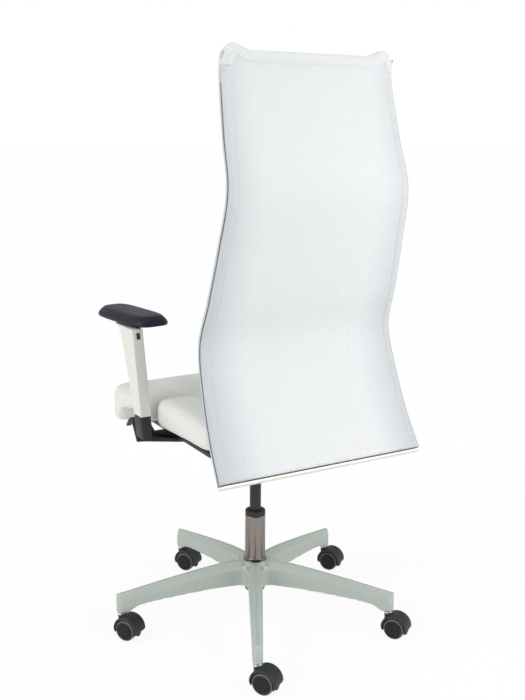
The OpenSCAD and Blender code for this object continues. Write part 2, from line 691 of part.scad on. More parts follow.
// Centre line of the frame tube, as shares of the height and places across
frame_foot = back_r / back_h + 0.006;
frame_head = 1 - back_r / back_h;
dip_share = top_dip / back_h;
frame_corner = 22;
function frame_x(s) = back_half(s) - back_r;
frame_side_line = [for (i = [0 : rows])
    let (s = frame_foot + 0.03 + (frame_head - frame_foot - 0.05) * i / rows)
    [s, frame_x(s)]];
frame_top_corner = [[frame_head - 0.008, frame_x(frame_head) - 2],
    [frame_head, frame_x(1) - frame_corner * 0.5],
    [frame_head - dip_share * 0.5, frame_x(1) - frame_corner * 1.2],
    [frame_head - dip_share, frame_x(1) - frame_corner * 2.2]];
frame_foot_corner = [[frame_foot, frame_x(0) - frame_corner],
    [frame_foot + 0.004, frame_x(0) - frame_corner * 0.5],
    [frame_foot + 0.014, frame_x(0) - 3]];
frame_right = concat(frame_foot_corner, frame_side_line, frame_top_corner);
frame_path = concat([for (p = frame_right) back_point(p[0], p[1], 0)],
    [for (i = [len(frame_right) - 1 : -1 : 0]) back_point(frame_right[i][0], -frame_right[i][1], 0)]);

crossbar_line = [for (i = [0 : 6]) let (s = (crossbar_lo + (crossbar_hi - crossbar_lo) * i / 6) / back_h)
    [back_point(s, 0, 0)[1], back_point(s, 0, 0)[2]]];
module back_frame() {
    reach = 2 * frame_x((crossbar_lo + crossbar_hi) / 2 / back_h);
    color([0.55, 0.56, 0.58]) difference() {
        union() {
            skin_loop(loop_rings(frame_path, frame_r, frame_sides));
            across(reach) polygon(strip(crossbar_line, crossbar_t));
        }
        back_bolt_places() cylinder(r = bolt_r + seated, h = 60, center = true);
    }
}
// Outline of one layer of mesh: a flat stretch with a part turn round each frame tube
function mesh_edge(half, r, from, to, steps) =
    [for (i = [0 : steps]) let (a = from + (to - from) * i / steps)
        [half - back_r + r * cos(a), r * sin(a)]];
function mesh_outline(half, r_out, r_in, from, to, steps) =
    let (a = mesh_edge(half, r_out, from, to, steps), b = mesh_edge(half, r_in, from, to, steps))
    concat(a, [for (i = [steps : -1 : 0]) [-a[i][0], a[i][1]]],
           [for (i = [0 : steps]) [-b[i][0], b[i][1]]], [for (i = [steps : -1 : 0]) b[i]]);
mesh_foot_share = 0.003;
mesh_head_share = frame_head - dip_share - (back_r + loose) / back_h;
function mesh_rings(from, to, steps) =
    [for (i = [0 : rows]) let (s = mesh_foot_share + (mesh_head_share - mesh_foot_share) * i / rows)
        [for (p = mesh_outline(back_half(s), back_r, back_r - mesh_t, from, to, steps))
            back_point(s, p[0], p[1])]];
module back_mesh_rear() color([0.95, 0.96, 0.97]) skin(mesh_rings(seam_angle, 90, 6));
module back_mesh_front() {
    color([0.92, 0.93, 0.95]) difference() {
        skin(mesh_rings(seam_angle - 3, -90, 5));
        spacer_block(spacer_w + 2 * window_gap, window_gap, 60);
    }
}
top_sleeve_share = mesh_head_share + 1 / back_h;
sleeve_room = 1.8;
function top_sleeve_path(start) =
    let (right = concat([[start, frame_x(start)], [top_sleeve_share + 0.006, frame_x(top_sleeve_share)]],
                        frame_top_corner,
                        [for (x = [0.75, 0.5, 0.25])
                            [frame_head - dip_share, (frame_x(1) - frame_corner * 2.2) * x]]))
    concat([for (p = right) back_point(p[0], p[1], 0)],
           [for (i = [len(right) - 1 : -1 : 0]) back_point(right[i][0], -right[i][1], 0)]);
module back_mesh_top() {
    color([0.95, 0.96, 0.97]) difference() {
        skin(path_rings(top_sleeve_path(top_sleeve_share), back_r, frame_sides));
        skin(path_rings(top_sleeve_path(top_sleeve_share - 0.004), frame_r + sleeve_room, frame_sides));
    }
}
module bottom_rail() {
    p = back_point(0, 0, 0);
    color([0.8, 0.79, 0.76]) translate(p) rotate([-back_lean(0.012), 0, 0])
        translate([0, 0, -rail_t]) linear_extrude(rail_t) plate_shape(back_foot_w, back_t, back_t / 2 - 1);
}
// Block between the frame's cross plate and the back bar
function back_offset_line(lo, hi, n) =
    [for (i = [0 : 6]) let (s = (lo + (hi - lo) * i / 6) / back_h, p = back_point(s, 0, n)) [p[1], p[2]]];
module spacer_block(w, more, depth) {
    n = -crossbar_t / 2 - seated - depth / 2;
    across(w) polygon(strip(back_offset_line(crossbar_lo - more, crossbar_hi + more, n), depth));
}
spacer_depth = back_r + 2;
module back_bolt_places() for (x = [-1, 1], h = [crossbar_lo + 16, crossbar_hi - 16])
    translate(back_point(h / back_h, x * 20, -crossbar_t / 2 - spacer_depth - bar_t))
    rotate([-90 - back_lean(h / back_h), 0, 0]) children();
module back_spacer() {
    color([0.1, 0.1, 0.11]) difference() {
        spacer_block(spacer_w, 0, spacer_depth);
        back_bolt_places() cylinder(r = bolt_r + seated, h = 80, center = true);
    }
}
bar_n = -crossbar_t / 2 - spacer_depth - 2 * seated - bar_t / 2;
bar_upper = back_offset_line(crossbar_lo, crossbar_hi, bar_n);
bar_start = [link_y + 8, housing_z + 14];
bar_line = concat([bar_start, [bar_start[0] + 22, bar_start[1]], [bar_start[0] + 48, bar_start[1] + 2],
    [bar_start[0] + 74, bar_start[1] + 8], [bar_start[0] + 91, bar_start[1] + 19],
    [bar_start[0] + 100, bar_start[1] + 36], [bar_upper[0][0] + 4, bar_upper[0][1] - 22]], bar_upper);
module back_bar() {
    color([0.1, 0.1, 0.11]) difference() {
        union() {
            across(bar_w) polygon(strip(bar_line, bar_t));
            across(2 * (ear_x + recline_ear_t)) translate([link_y + 8, housing_z + 8]) square([20, 12]);
            for (side = [-1, 1]) mirrored(side) across(recline_ear_t, ear_x + recline_ear_t / 2)
                polygon([[recline_pin_y - 10, recline_pin_z - 9], [recline_pin_y - 12, recline_pin_z],
                         [recline_pin_y - 6, recline_pin_z + 11], [recline_pin_y + 8, recline_pin_z + 11],
                         [link_y - 6, link_z + 9], [link_y + 8, link_z + 8], [link_y + 28, housing_z + 20],
                         [link_y + 28, housing_z + 8], [recline_pin_y + 4, recline_pin_z - 12]]);
        }
        pin_across(recline_pin_r + running, 4 * ear_x, recline_pin_y, recline_pin_z);
        pin_across(link_pin_r + seated, 4 * ear_x, link_y, link_z);
        back_bolt_places() cylinder(r = bolt_r + 0.3, h = 80, center = true);
    }
}
module link_pin() color([0.7, 0.7, 0.72]) pin_across(link_pin_r, 2 * pin_end_x, link_y, link_z);
module back_bolts() color([0.7, 0.7, 0.72]) back_bolt_places() translate([0, 0, -seated])
    bolt_up(bar_t + spacer_depth + crossbar_t + 4);

// ---------------------------------------------------------------- casters
module at_caster(k) rotate([0, 0, base_turn + 72 * (k - 1)]) translate([base_reach, 0, 0])
    rotate([0, 0, caster_heading - base_turn - 72 * (k - 1)]) children();
axle_r = 3;
horn_drop = 6;
module caster_hood(k) {
    half = hood_web / 2 + wheel_gap / 2 + wheel_w;
    color([0.07, 0.07, 0.08]) at_caster(k) difference() {
        union() {
            difference() {
                translate([caster_trail, 0, axle_z]) rotate([90, 0, 0])
                    cylinder(r = hood_r, h = 2 * half - 4, center = true);
                translate([caster_trail, 0, axle_z]) rotate([90, 0, 0])
                    cylinder(r = wheel_d / 2 + wheel_gap, h = 2 * half, center = true);
                translate([caster_trail - 2 * hood_r, -half - 1, axle_z - 2 * hood_r])
                    cube([4 * hood_r, 2 * half + 2, 2 * hood_r - horn_drop]);
            }
            intersection() {
                translate([caster_trail, 0, axle_z]) rotate([90, 0, 0])
                    cylinder(r = hood_r - 1, h = hood_web, center = true);
                translate([caster_trail - 2 * hood_r, -hood_web, axle_z - 12])
                    cube([4 * hood_r, 2 * hood_web, 2 * hood_r]);
            }
            translate([0, 0, axle_z + hood_r - 12]) cylinder(r = stem_d / 2 + 4, h = 12);
        }
        translate([caster_trail, 0, axle_z]) rotate([90, 0, 0])
            cylinder(r = axle_r + seated, h = hood_web + 2, center = true);
        for (side = [-1, 1]) translate([caster_trail, side * (half + hood_web / 2) / 2 + side * 0.3, axle_z])
            rotate([90, 0, 0]) cylinder(r = wheel_d / 2 + wheel_gap, h = half - hood_web / 2, center = true);
        translate([0, 0, axle_z + hood_r - 13]) cylinder(r = stem_d / 2 + seated, h = 20);
    }
}
module caster_pins(k) {
    half = hood_web / 2 + wheel_gap / 2 + wheel_w;
    color([0.75, 0.75, 0.77]) at_caster(k) {
        translate([0, 0, axle_z + hood_r - 13 + tiny])
            cylinder(r = stem_d / 2, h = 13 + stem_collar_h + stem_len);
        translate([0, 0, axle_z + hood_r + seated])
            cylinder(r = stem_d / 2 + 4, h = stem_collar_h - 1);
        translate([caster_trail, 0, axle_z]) rotate([90, 0, 0])
            cylinder(r = axle_r, h = 2 * half - 8, center = true);
    }
}
module wheel(k, side) {
    tread = 3.5;
    y = side * (hood_web / 2 + wheel_gap / 2 + wheel_w / 2);
    color([0.1, 0.1, 0.11]) at_caster(k) translate([caster_trail, y, axle_z]) rotate([90, 0, 0])
        difference() {
            union() {
                cylinder(r = wheel_d / 2 - tread, h = wheel_w, center = true);
                rotate_extrude() translate([wheel_d / 2 - tread - tiny, 0]) polygon([
                    [0, -wheel_w / 2 + 1], [tread - 1, -wheel_w / 2 + 1], [tread + tiny, -wheel_w / 2 + 3],
                    [tread + tiny, wheel_w / 2 - 3], [tread - 1, wheel_w / 2 - 1], [0, wheel_w / 2 - 1]]);
            }
            translate([0, 0, side * 3]) cylinder(r = axle_r + running, h = wheel_w, center = true);
        }
}

star_base();
column_tube();
guide_bush();
thrust_bearing();
piston_rod();
rod_clip();
gas_cylinder();
valve_pin();
mech_housing();
tilt_pin();
recline_pin();
tilt_spring();
tension_knob();
height_lever();
tilt_lever();
seat_plate();
seat_shell();
seat_cushion();
seat_bolts();
back_bar();
link_pin();
back_spacer();
back_bolts();
back_frame();
back_mesh_rear();
back_mesh_front();
back_mesh_top();
bottom_rail();
arm_bracket(1);  // arm_bracket_left
arm_sleeve(1);  // arm_sleeve_left
arm_button(1);  // arm_button_left
arm_pad_plate(1);  // arm_pad_plate_left
arm_pad(1);  // arm_pad_left
arm_bracket(-1);  // arm_bracket_right
arm_sleeve(-1);  // arm_sleeve_right
arm_button(-1);  // arm_button_right
arm_pad_plate(-1);  // arm_pad_plate_right
arm_pad(-1);  // arm_pad_right
arm_bolts();
for (k = [1 : arms_n]) {
    caster_hood(k);
    caster_pins(k);
    wheel(k, 1);
    wheel(k, -1);
}
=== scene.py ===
# High-backed swivel office chair, dressed piece by piece round its engineered frame.
import json
import math
import bmesh
import bpy
import numpy as np
from mathutils import Matrix, Vector

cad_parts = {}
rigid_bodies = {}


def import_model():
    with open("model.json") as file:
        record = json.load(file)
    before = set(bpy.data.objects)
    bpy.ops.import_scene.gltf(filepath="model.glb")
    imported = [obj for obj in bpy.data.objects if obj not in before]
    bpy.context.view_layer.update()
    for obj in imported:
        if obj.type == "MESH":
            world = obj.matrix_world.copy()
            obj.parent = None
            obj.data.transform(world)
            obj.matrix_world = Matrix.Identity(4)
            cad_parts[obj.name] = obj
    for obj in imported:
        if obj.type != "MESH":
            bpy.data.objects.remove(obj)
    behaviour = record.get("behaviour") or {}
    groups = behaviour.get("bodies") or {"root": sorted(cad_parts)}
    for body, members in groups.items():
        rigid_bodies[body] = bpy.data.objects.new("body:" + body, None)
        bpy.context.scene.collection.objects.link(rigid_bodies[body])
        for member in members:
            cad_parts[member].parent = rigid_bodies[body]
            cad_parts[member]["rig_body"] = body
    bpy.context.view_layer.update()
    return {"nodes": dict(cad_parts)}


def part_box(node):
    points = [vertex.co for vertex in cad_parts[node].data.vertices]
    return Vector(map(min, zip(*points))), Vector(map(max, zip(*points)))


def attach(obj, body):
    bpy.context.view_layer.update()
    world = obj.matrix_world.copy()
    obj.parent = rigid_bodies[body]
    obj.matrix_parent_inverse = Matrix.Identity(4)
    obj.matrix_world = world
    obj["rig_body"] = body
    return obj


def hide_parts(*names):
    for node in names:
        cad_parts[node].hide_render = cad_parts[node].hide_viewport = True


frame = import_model()
scene = bpy.context.scene
nodes = frame["nodes"]

# ---------------------------------------------------------------- camera
# A 50 mm lens at standing eye height, behind the chair and over the sitter's left shoulder.
camera = bpy.data.objects.new("camera", bpy.data.cameras.new("camera"))
scene.collection.objects.link(camera)
camera.data.lens = 49.88
camera.data.sensor_width = 36
camera_place = Vector((1.1217, 1.938, 1.1933))
camera_heading, camera_tilt, camera_roll = (math.radians(a) for a in (149.57, 77.13, 0.48))
camera.matrix_world = (Matrix.Translation(camera_place) @ Matrix.Rotation(camera_heading, 4, "Z")
                       @ Matrix.Rotation(camera_tilt, 4, "X") @ Matrix.Rotation(camera_roll, 4, "Z"))
scene.camera = camera

# ---------------------------------------------------------------- studio
# A pale floor that glows for the camera, an even white room, two broad soft suns and a soft box.
scene.view_settings.view_transform = "Standard"
world = bpy.data.worlds.new("studio")
scene.world = world
world.use_nodes = True
room, room_out = world.node_tree.nodes["Background"], world.node_tree.nodes["World Output"]
room.inputs["Color"].default_value = (0.95, 1.0, 0.99, 1)
room.inputs["Strength"].default_value = 0.6
backdrop = world.node_tree.nodes.new("ShaderNodeBackground")
backdrop.inputs["Color"].default_value = (1, 1, 1, 1)
seen = world.node_tree.nodes.new("ShaderNodeLightPath")
choose = world.node_tree.nodes.new("ShaderNodeMixShader")
world.node_tree.links.new(seen.outputs["Is Camera Ray"], choose.inputs["Fac"])
world.node_tree.links.new(room.outputs[0], choose.inputs[1])
world.node_tree.links.new(backdrop.outputs[0], choose.inputs[2])
world.node_tree.links.new(choose.outputs[0], room_out.inputs["Surface"])


def soft_sun(name, place, power, spread, color):
    """A wide even light from the side of that place, as from a wall of diffusers."""
    lamp = bpy.data.objects.new(name, bpy.data.lights.new(name, "SUN"))
    lamp.data.energy, lamp.data.angle, lamp.data.color = power, math.radians(spread), color
    lamp.rotation_mode = "QUATERNION"
    lamp.rotation_quaternion = (-Vector(place)).to_track_quat("-Z", "Y")
    scene.collection.objects.link(lamp)


soft_sun("key", (1.0, 0.05, 0.7), 1.4, 40, (1.0, 0.985, 0.955))
soft_sun("fill", (-0.6, 0.85, 0.5), 1.15, 50, (1.0, 0.99, 0.98))
soft_box = bpy.data.objects.new("side_box", bpy.data.lights.new("side_box", "AREA"))
soft_box.data.energy, soft_box.data.size = 1.6, 0.6
soft_box.location = (-0.62, 0.75, 1.05)
soft_box.rotation_mode = "QUATERNION"
soft_box.rotation_quaternion = Vector((-0.55, 0.5, 0.0)).to_track_quat("Z", "Y")
soft_box.visible_camera = False
scene.collection.objects.link(soft_box)


def add_piece(name, points, faces, sharp=32, inside_out=False):
    """A new mesh object with its normals outwards; edges bent more than sharp degrees stay crisp."""
    mesh = bpy.data.meshes.new(name)
    mesh.from_pydata([tuple(p) for p in points], [], faces)
    made = bmesh.new()
    made.from_mesh(mesh)
    bmesh.ops.remove_doubles(made, verts=made.verts, dist=1e-6)
    bmesh.ops.recalc_face_normals(made, faces=made.faces)
    if inside_out:
        bmesh.ops.reverse_faces(made, faces=made.faces)
    made.to_mesh(mesh)
    made.free()
    mesh.shade_smooth()
    mesh.set_sharp_from_angle(angle=math.radians(sharp))
    piece = bpy.data.objects.new(name, mesh)
    scene.collection.objects.link(piece)
    return piece


FLOOR_SIZE = 60.0
floor = add_piece("floor", [(x * FLOOR_SIZE, y * FLOOR_SIZE, 0) for x, y in
                            ((-1, -1), (1, -1), (1, 1), (-1, 1))], [(0, 1, 2, 3)])
floor_paint = bpy.data.materials.new("floor_paint")
floor_paint.use_nodes = True
floor_paint.node_tree.nodes["Principled BSDF"].inputs["Base Color"].default_value = (0.96, 0.96, 0.96, 1)
floor_paint.node_tree.nodes["Principled BSDF"].inputs["Roughness"].default_value = 0.9
floor_nodes = floor_paint.node_tree.nodes
glow, floor_seen = floor_nodes.new("ShaderNodeEmission"), floor_nodes.new("ShaderNodeLightPath")
floor_share, floor_mix = floor_nodes.new("ShaderNodeMath"), floor_nodes.new("ShaderNodeMixShader")
floor_share.operation = "MULTIPLY"
floor_share.inputs[1].default_value = 0.9
floor_links = floor_paint.node_tree.links
floor_links.new(floor_seen.outputs["Is Camera Ray"], floor_share.inputs[0])
floor_links.new(floor_share.outputs[0], floor_mix.inputs["Fac"])
floor_links.new(floor_nodes["Principled BSDF"].outputs[0], floor_mix.inputs[1])
floor_links.new(glow.outputs[0], floor_mix.inputs[2])
floor_links.new(floor_mix.outputs[0], floor_nodes["Material Output"].inputs["Surface"])
floor.data.materials.append(floor_paint)


# ---------------------------------------------------------------- star base
# One die casting in pale grey-green powder paint: a hub and five hollow arms, each with a flat
# ridge along its top, sides that fall away from it and a round socket at its tip.
BASE_REACH = 0.337
BASE_TURN = math.radians(61.2)
ARMS = 5
base_low, base_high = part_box("star_base")
SOCKET_Z, HUB_TOP_Z = base_low[2], base_high[2]
HUB_FOOT_Z = SOCKET_Z + 0.028
TIP_TOP_Z = SOCKET_Z + 0.048
NOSE = 0.012
ARM_WALL = 0.004
TIP_HALF, ROOT_HALF, RIDGE_HALF = 0.012, 0.0185, 0.0052


def curve_at(pairs, t):
    """Smooth curve through pairs of (place, value)."""
    places, values = [p[0] for p in pairs], [p[1] for p in pairs]
    last = len(pairs) - 1
    i = min(max(int(np.searchsorted(places, t, side="right")) - 1, 0), last - 1)

    def slope(k):
        a, b = max(k - 1, 0), min(k + 1, last)
        return (values[b] - values[a]) / (places[b] - places[a])

    h = places[i + 1] - places[i]
    u = (t - places[i]) / h
    return ((2 * u**3 - 3 * u**2 + 1) * values[i] + (u**3 - 2 * u**2 + u) * h * slope(i)
            + (3 * u**2 - 2 * u**3) * values[i + 1] + (u**3 - u**2) * h * slope(i + 1))


def loft(rings, closed=False, caps=True):
    """Points and faces of a skin over rings that have the same number of points."""
    count = len(rings[0])
    points = [p for ring in rings for p in ring]
    faces = []
    for i in range(len(rings) if closed else len(rings) - 1):
        k = (i + 1) % len(rings)
        faces += [(i * count + j, i * count + (j + 1) % count, k * count + (j + 1) % count, k * count + j)
                  for j in range(count)]
    if caps and not closed:
        faces.append(tuple(range(count - 1, -1, -1)))
        faces.append(tuple((len(rings) - 1) * count + j for j in range(count)))
    return points, faces


def merge_parts(parts):
    """One list of points and one of faces from several (points, faces) pairs."""
    points, faces = [], []
    for part_points, part_faces in parts:
        faces += [tuple(k + len(points) for k in face) for face in part_faces]
        points += list(part_points)
    return points, faces


def arm_top(t):
    return curve_at([(0, HUB_TOP_Z - 0.001), (0.25, HUB_TOP_Z - 0.003), (0.6, HUB_TOP_Z - 0.019),
                     (1, TIP_TOP_Z)], t)


def arm_foot(t):
    return curve_at([(0, HUB_FOOT_Z + 0.001), (0.35, HUB_FOOT_Z + 0.001), (0.7, HUB_FOOT_Z - 0.006),
                     (0.87, HUB_FOOT_Z - 0.013), (0.95, HUB_FOOT_Z - 0.021)], min(t, 0.95))


def arm_half(t):
    return ROOT_HALF + (TIP_HALF - ROOT_HALF) * t


def trough_ring(t):
    """Section of a hollow arm, open underneath."""
    half, top, foot = arm_half(t), arm_top(t), arm_foot(t)
    knee = top - 0.013
    outer = [(-half, foot), (-half, knee - 0.004), (0.0012 - half, knee), (-RIDGE_HALF, top),
             (RIDGE_HALF, top), (half - 0.0012, knee), (half, knee - 0.004), (half, foot)]
    inner = [(half - ARM_WALL, foot), (half - ARM_WALL, knee - ARM_WALL), (RIDGE_HALF, top - 1.6 * ARM_WALL),
             (-RIDGE_HALF, top - 1.6 * ARM_WALL), (ARM_WALL - half, knee - ARM_WALL), (ARM_WALL - half, foot)]
    return [(BASE_REACH * t, s, z) for s, z in outer + inner]


def tip_ring(r):
    """Section of the solid tip round the caster's socket, narrowing to a blunt nose."""
    past = max(r - BASE_REACH, 0) / NOSE
    half = TIP_HALF * math.sqrt(max(1 - 0.86 * past**2, 0.02))
    t = min(r / BASE_REACH, 1 + NOSE / BASE_REACH)
    top = arm_top(t)
    knee = top - 0.013
    share = min(max((r - 0.3) / 0.022, 0), 1)
    foot = arm_foot(min(t, 0.95)) + (SOCKET_Z - arm_foot(0.95)) * share**1.5
    ridge = min(RIDGE_HALF, half * 0.8)
    return [(r, s, z) for s, z in ((-half, foot), (-half, knee - 0.004), (0.0012 - half, knee), (-ridge, top),
                                   (ridge, top), (half - 0.0012, knee), (half, knee - 0.004), (half, foot))]


def hub_outline(fillet, z):
    """Five-pointed plan of the hub: hollow curves of that radius between the arms."""
    points = []
    for k in range(ARMS):
        middle = math.radians(36 + 72 * k)
        reach = (ROOT_HALF - 0.001 + fillet) / math.sin(math.radians(36))
        for s in range(9):
            a = middle + math.pi + math.radians(-54 + 108 * s / 8)
            points.append((reach * math.cos(middle) + fillet * math.cos(a),
                           reach * math.sin(middle) + fillet * math.sin(a), z))
    return points


arm_parts = [loft([trough_ring(0.06 + 0.885 * i / 22) for i in range(23)]),
             loft([tip_ring(0.300 + 0.049 * (1 - (1 - i / 17) ** 1.3)) for i in range(18)])]
hub_levels = [(0.012, HUB_FOOT_Z), (0.022, HUB_FOOT_Z + 0.004), (0.022, HUB_TOP_Z - 0.017),
              (0.016, HUB_TOP_Z - 0.009), (0.008, HUB_TOP_Z - 0.004), (0.003, HUB_TOP_Z)]
casting_parts = [loft([hub_outline(fillet, z) for fillet, z in hub_levels])]
for k in range(ARMS):
    spin = Matrix.Rotation(math.radians(72 * k), 3, "Z")
    casting_parts += [([spin @ Vector(p) for p in points], faces) for points, faces in arm_parts]
star_base = add_piece("star_base_casting", *merge_parts(casting_parts))


def melt_together(piece, grain, passes):
    """Joins overlapping shells into one skin and rounds its edges, as in a casting."""
    remesh = piece.modifiers.new("join", "REMESH")
    remesh.mode, remesh.voxel_size, remesh.use_smooth_shade = "VOXEL", grain, True
    relax = piece.modifiers.new("round", "SMOOTH")
    relax.factor, relax.iterations = 0.5, passes
    bpy.context.view_layer.update()
    done = bpy.data.meshes.new_from_object(piece.evaluated_get(bpy.context.evaluated_depsgraph_get()))
    piece.modifiers.clear()
    piece.data = done
    done.name = piece.name
    done.shade_smooth()


def cut_away(piece, corners, faces):
    """Cuts a shape, given as points and faces, out of a piece."""
    cutter = add_piece("cutter", corners, faces)
    cut = piece.modifiers.new("cut", "BOOLEAN")
    cut.object, cut.operation, cut.solver = cutter, "DIFFERENCE", "EXACT"
    bpy.context.view_layer.update()
    done = bpy.data.meshes.new_from_object(piece.evaluated_get(bpy.context.evaluated_depsgraph_get()))
    piece.modifiers.clear()
    piece.data = done
    done.name = piece.name
    bpy.data.objects.remove(cutter)
    done.shade_smooth()


HUB_BORE = 0.0251
melt_together(star_base, 0.0022, 5)
bore_rings = [[(HUB_BORE * math.cos(2 * math.pi * j / 64), HUB_BORE * math.sin(2 * math.pi * j / 64), z)
               for j in range(64)] for z in (0.0, 0.2)]
cut_away(star_base, *loft(bore_rings))
star_base.data.set_sharp_from_angle(angle=math.radians(50))
star_base.data.transform(Matrix.Rotation(BASE_TURN, 4, "Z"))


def node_group(name, inputs, outputs):
    """An empty shader group; inputs and outputs are (name, kind, default) and (name, kind)."""
    group = bpy.data.node_groups.new(name, "ShaderNodeTree")
    for label, kind, default in inputs:
        socket = group.interface.new_socket(label, in_out="INPUT", socket_type="NodeSocket" + kind)
        if default is not None:
            socket.default_value = default
    for label, kind in outputs:
        group.interface.new_socket(label, in_out="OUTPUT", socket_type="NodeSocket" + kind)
    return group, group.nodes.new("NodeGroupInput"), group.nodes.new("NodeGroupOutput")


def math_node(tree, operation, *values):
    """A maths node; each value is a number or a socket."""
    node = tree.nodes.new("ShaderNodeMath")
    node.operation = operation
    for i, value in enumerate(values):
        if isinstance(value, (int, float)):
            node.inputs[i].default_value = value
        else:
            tree.links.new(value, node.inputs[i])
    return node.outputs[0]


def build_grain():
    """Fine moulded or painted skin: mottled colour, uneven gloss and a shallow height."""
    group, given, out = node_group(
        "skin_grain", [("Vector", "Vector", None), ("Grain Scale", "Float", 900.0), ("Mottle", "Float", 0.05),
                       ("Color", "Color", (0.5, 0.5, 0.5, 1)), ("Roughness", "Float", 0.4)],
        [("Color", "Color"), ("Roughness", "Float"), ("Height", "Float")])
    fine, broad = group.nodes.new("ShaderNodeTexNoise"), group.nodes.new("ShaderNodeTexNoise")
    fine.inputs["Detail"].default_value = 3
    broad.inputs["Scale"].default_value, broad.inputs["Detail"].default_value = 14, 4
    links = group.links
    for noise in (fine, broad):
        links.new(given.outputs["Vector"], noise.inputs["Vector"])
    links.new(given.outputs["Grain Scale"], fine.inputs["Scale"])
    swing = math_node(group, "MULTIPLY", math_node(group, "SUBTRACT", broad.outputs["Fac"], 0.5),
                      given.outputs["Mottle"])
    value = math_node(group, "ADD", swing, 1.0)
    shade = group.nodes.new("ShaderNodeVectorMath")
    shade.operation = "SCALE"
    links.new(given.outputs["Color"], shade.inputs[0])
    links.new(value, shade.inputs["Scale"])
    links.new(shade.outputs[0], out.inputs["Color"])
    links.new(math_node(group, "ADD", given.outputs["Roughness"],
                        math_node(group, "MULTIPLY", swing, 1.5)), out.inputs["Roughness"])
    links.new(fine.outputs["Fac"], out.inputs["Height"])
    return group


def build_wear():
    """Mask of convex edges, where hands and shoes rub a finish brighter."""
    group, given, out = node_group("edge_wear", [("Width", "Float", 0.02), ("Strength", "Float", 0.5)],
                                   [("Mask", "Float")])
    shape = group.nodes.new("ShaderNodeNewGeometry")
    rise = math_node(group, "DIVIDE", math_node(group, "SUBTRACT", shape.outputs["Pointiness"], 0.505),
                     given.outputs["Width"])
    clamp = group.nodes.new("ShaderNodeClamp")
    group.links.new(rise, clamp.inputs["Value"])
    group.links.new(math_node(group, "MULTIPLY", clamp.outputs[0], given.outputs["Strength"]),
                    out.inputs["Mask"])
    return group


grain_group, wear_group = build_grain(), build_wear()


DULL_BLACK = 0.2


def skin_material(name, color, roughness, metallic=0.0, grain=900.0, mottle=0.05, bump=0.1, depth=0.0001,
                  worn=None, wear=0.3, coat=0.0, sheen=0.0):
    """Painted, plated or moulded surface with fine grain and edges rubbed towards the worn colour."""
    material = bpy.data.materials.new(name)
    material.use_nodes = True
    tree = material.node_tree
    shader = tree.nodes["Principled BSDF"]
    place = tree.nodes.new("ShaderNodeTexCoord")
    skin = tree.nodes.new("ShaderNodeGroup")
    skin.node_tree = grain_group
    tree.links.new(place.outputs["Object"], skin.inputs["Vector"])
    skin.inputs["Grain Scale"].default_value = grain
    skin.inputs["Mottle"].default_value = mottle
    skin.inputs["Color"].default_value = (*color, 1)
    skin.inputs["Roughness"].default_value = roughness
    rub = tree.nodes.new("ShaderNodeGroup")
    rub.node_tree = wear_group
    rub.inputs["Strength"].default_value = wear
    blend = tree.nodes.new("ShaderNodeMix")
    blend.data_type = "RGBA"
    tree.links.new(rub.outputs["Mask"], blend.inputs["Factor"])
    tree.links.new(skin.outputs["Color"], blend.inputs["A"])
    blend.inputs["B"].default_value = (*(worn or [min(c * 1.25 + 0.02, 1) for c in color]), 1)
    tree.links.new(blend.outputs["Result"], shader.inputs["Base Color"])
    tree.links.new(skin.outputs["Roughness"], shader.inputs["Roughness"])
    relief = tree.nodes.new("ShaderNodeBump")
    relief.inputs["Strength"].default_value = bump
    relief.inputs["Distance"].default_value = depth
    tree.links.new(skin.outputs["Height"], relief.inputs["Height"])
    tree.links.new(relief.outputs["Normal"], shader.inputs["Normal"])
    shader.inputs["Metallic"].default_value = metallic
    shader.inputs["Specular IOR Level"].default_value = 0.5 if metallic or max(color) > 0.06 else DULL_BLACK
    shader.inputs["Coat Weight"].default_value = coat
    shader.inputs["Sheen Weight"].default_value = sheen
    return material


def dress(piece, material, body, slot, *replaced):
    """Gives a finished piece its material and its body, and hides the frame nodes it stands for; slot is not
    used.
    """
    piece.data.materials.clear()
    for one in material if isinstance(material, (list, tuple)) else [material]:
        piece.data.materials.append(one)
    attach(piece, body)
    if replaced:
        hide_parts(*replaced)


base_paint = skin_material("base_powder_paint", (0.405, 0.445, 0.412), 0.42, grain=1500, mottle=0.05,
                           bump=0.12,
                           worn=(0.56, 0.62, 0.57), coat=0.12)
dress(star_base, base_paint, "base", "base_paint", "star_base")

# ---------------------------------------------------------------- casters
# Moulded black twin-wheel casters. Each hood is one arched fender on a middle web, drawn out to
# a horn on either side; a zinc stem and axle pin are pressed into it.
WHEEL_R, WHEEL_W = 0.025, 0.018
HOOD_R, HOOD_IN = 0.033, 0.0272
HOOD_HALF, WEB_HALF = 0.0215, 0.004
TRAIL = 0.021
HEADING = math.radians(122.6)
AXLE_Z = WHEEL_R
HORN = math.radians(16)


def caster_frame(k):
    """Places a caster built with its stem on Z and its wheels trailing along X."""
    a = BASE_TURN + math.radians(72 * (k - 1))
    stem = Vector((BASE_REACH * math.cos(a), BASE_REACH * math.sin(a), 0))
    return Matrix.Translation(stem) @ Matrix.Rotation(HEADING, 4, "Z")


def turned(profile, segments=64):
    """Points and faces turned about Z from (radius, height) pairs; a ring, if they don't start at 0."""
    rings = [[(r * math.cos(2 * math.pi * j / segments), r * math.sin(2 * math.pi * j / segments), z)
              for j in range(segments)] for r, z in profile if r > 0]
    if profile[0][0] > 0:
        return loft(rings, closed=True)
    points, faces = loft(rings, caps=False)
    for row, ring_start, flip in ((profile[0], 0, True), (profile[-1], (len(rings) - 1) * segments, False)):
        points.append((0, 0, row[1]))
        hub = len(points) - 1
        for j in range(segments):
            a, b = ring_start + j, ring_start + (j + 1) % segments
            faces.append((hub, b, a) if flip else (hub, a, b))
    return points, faces


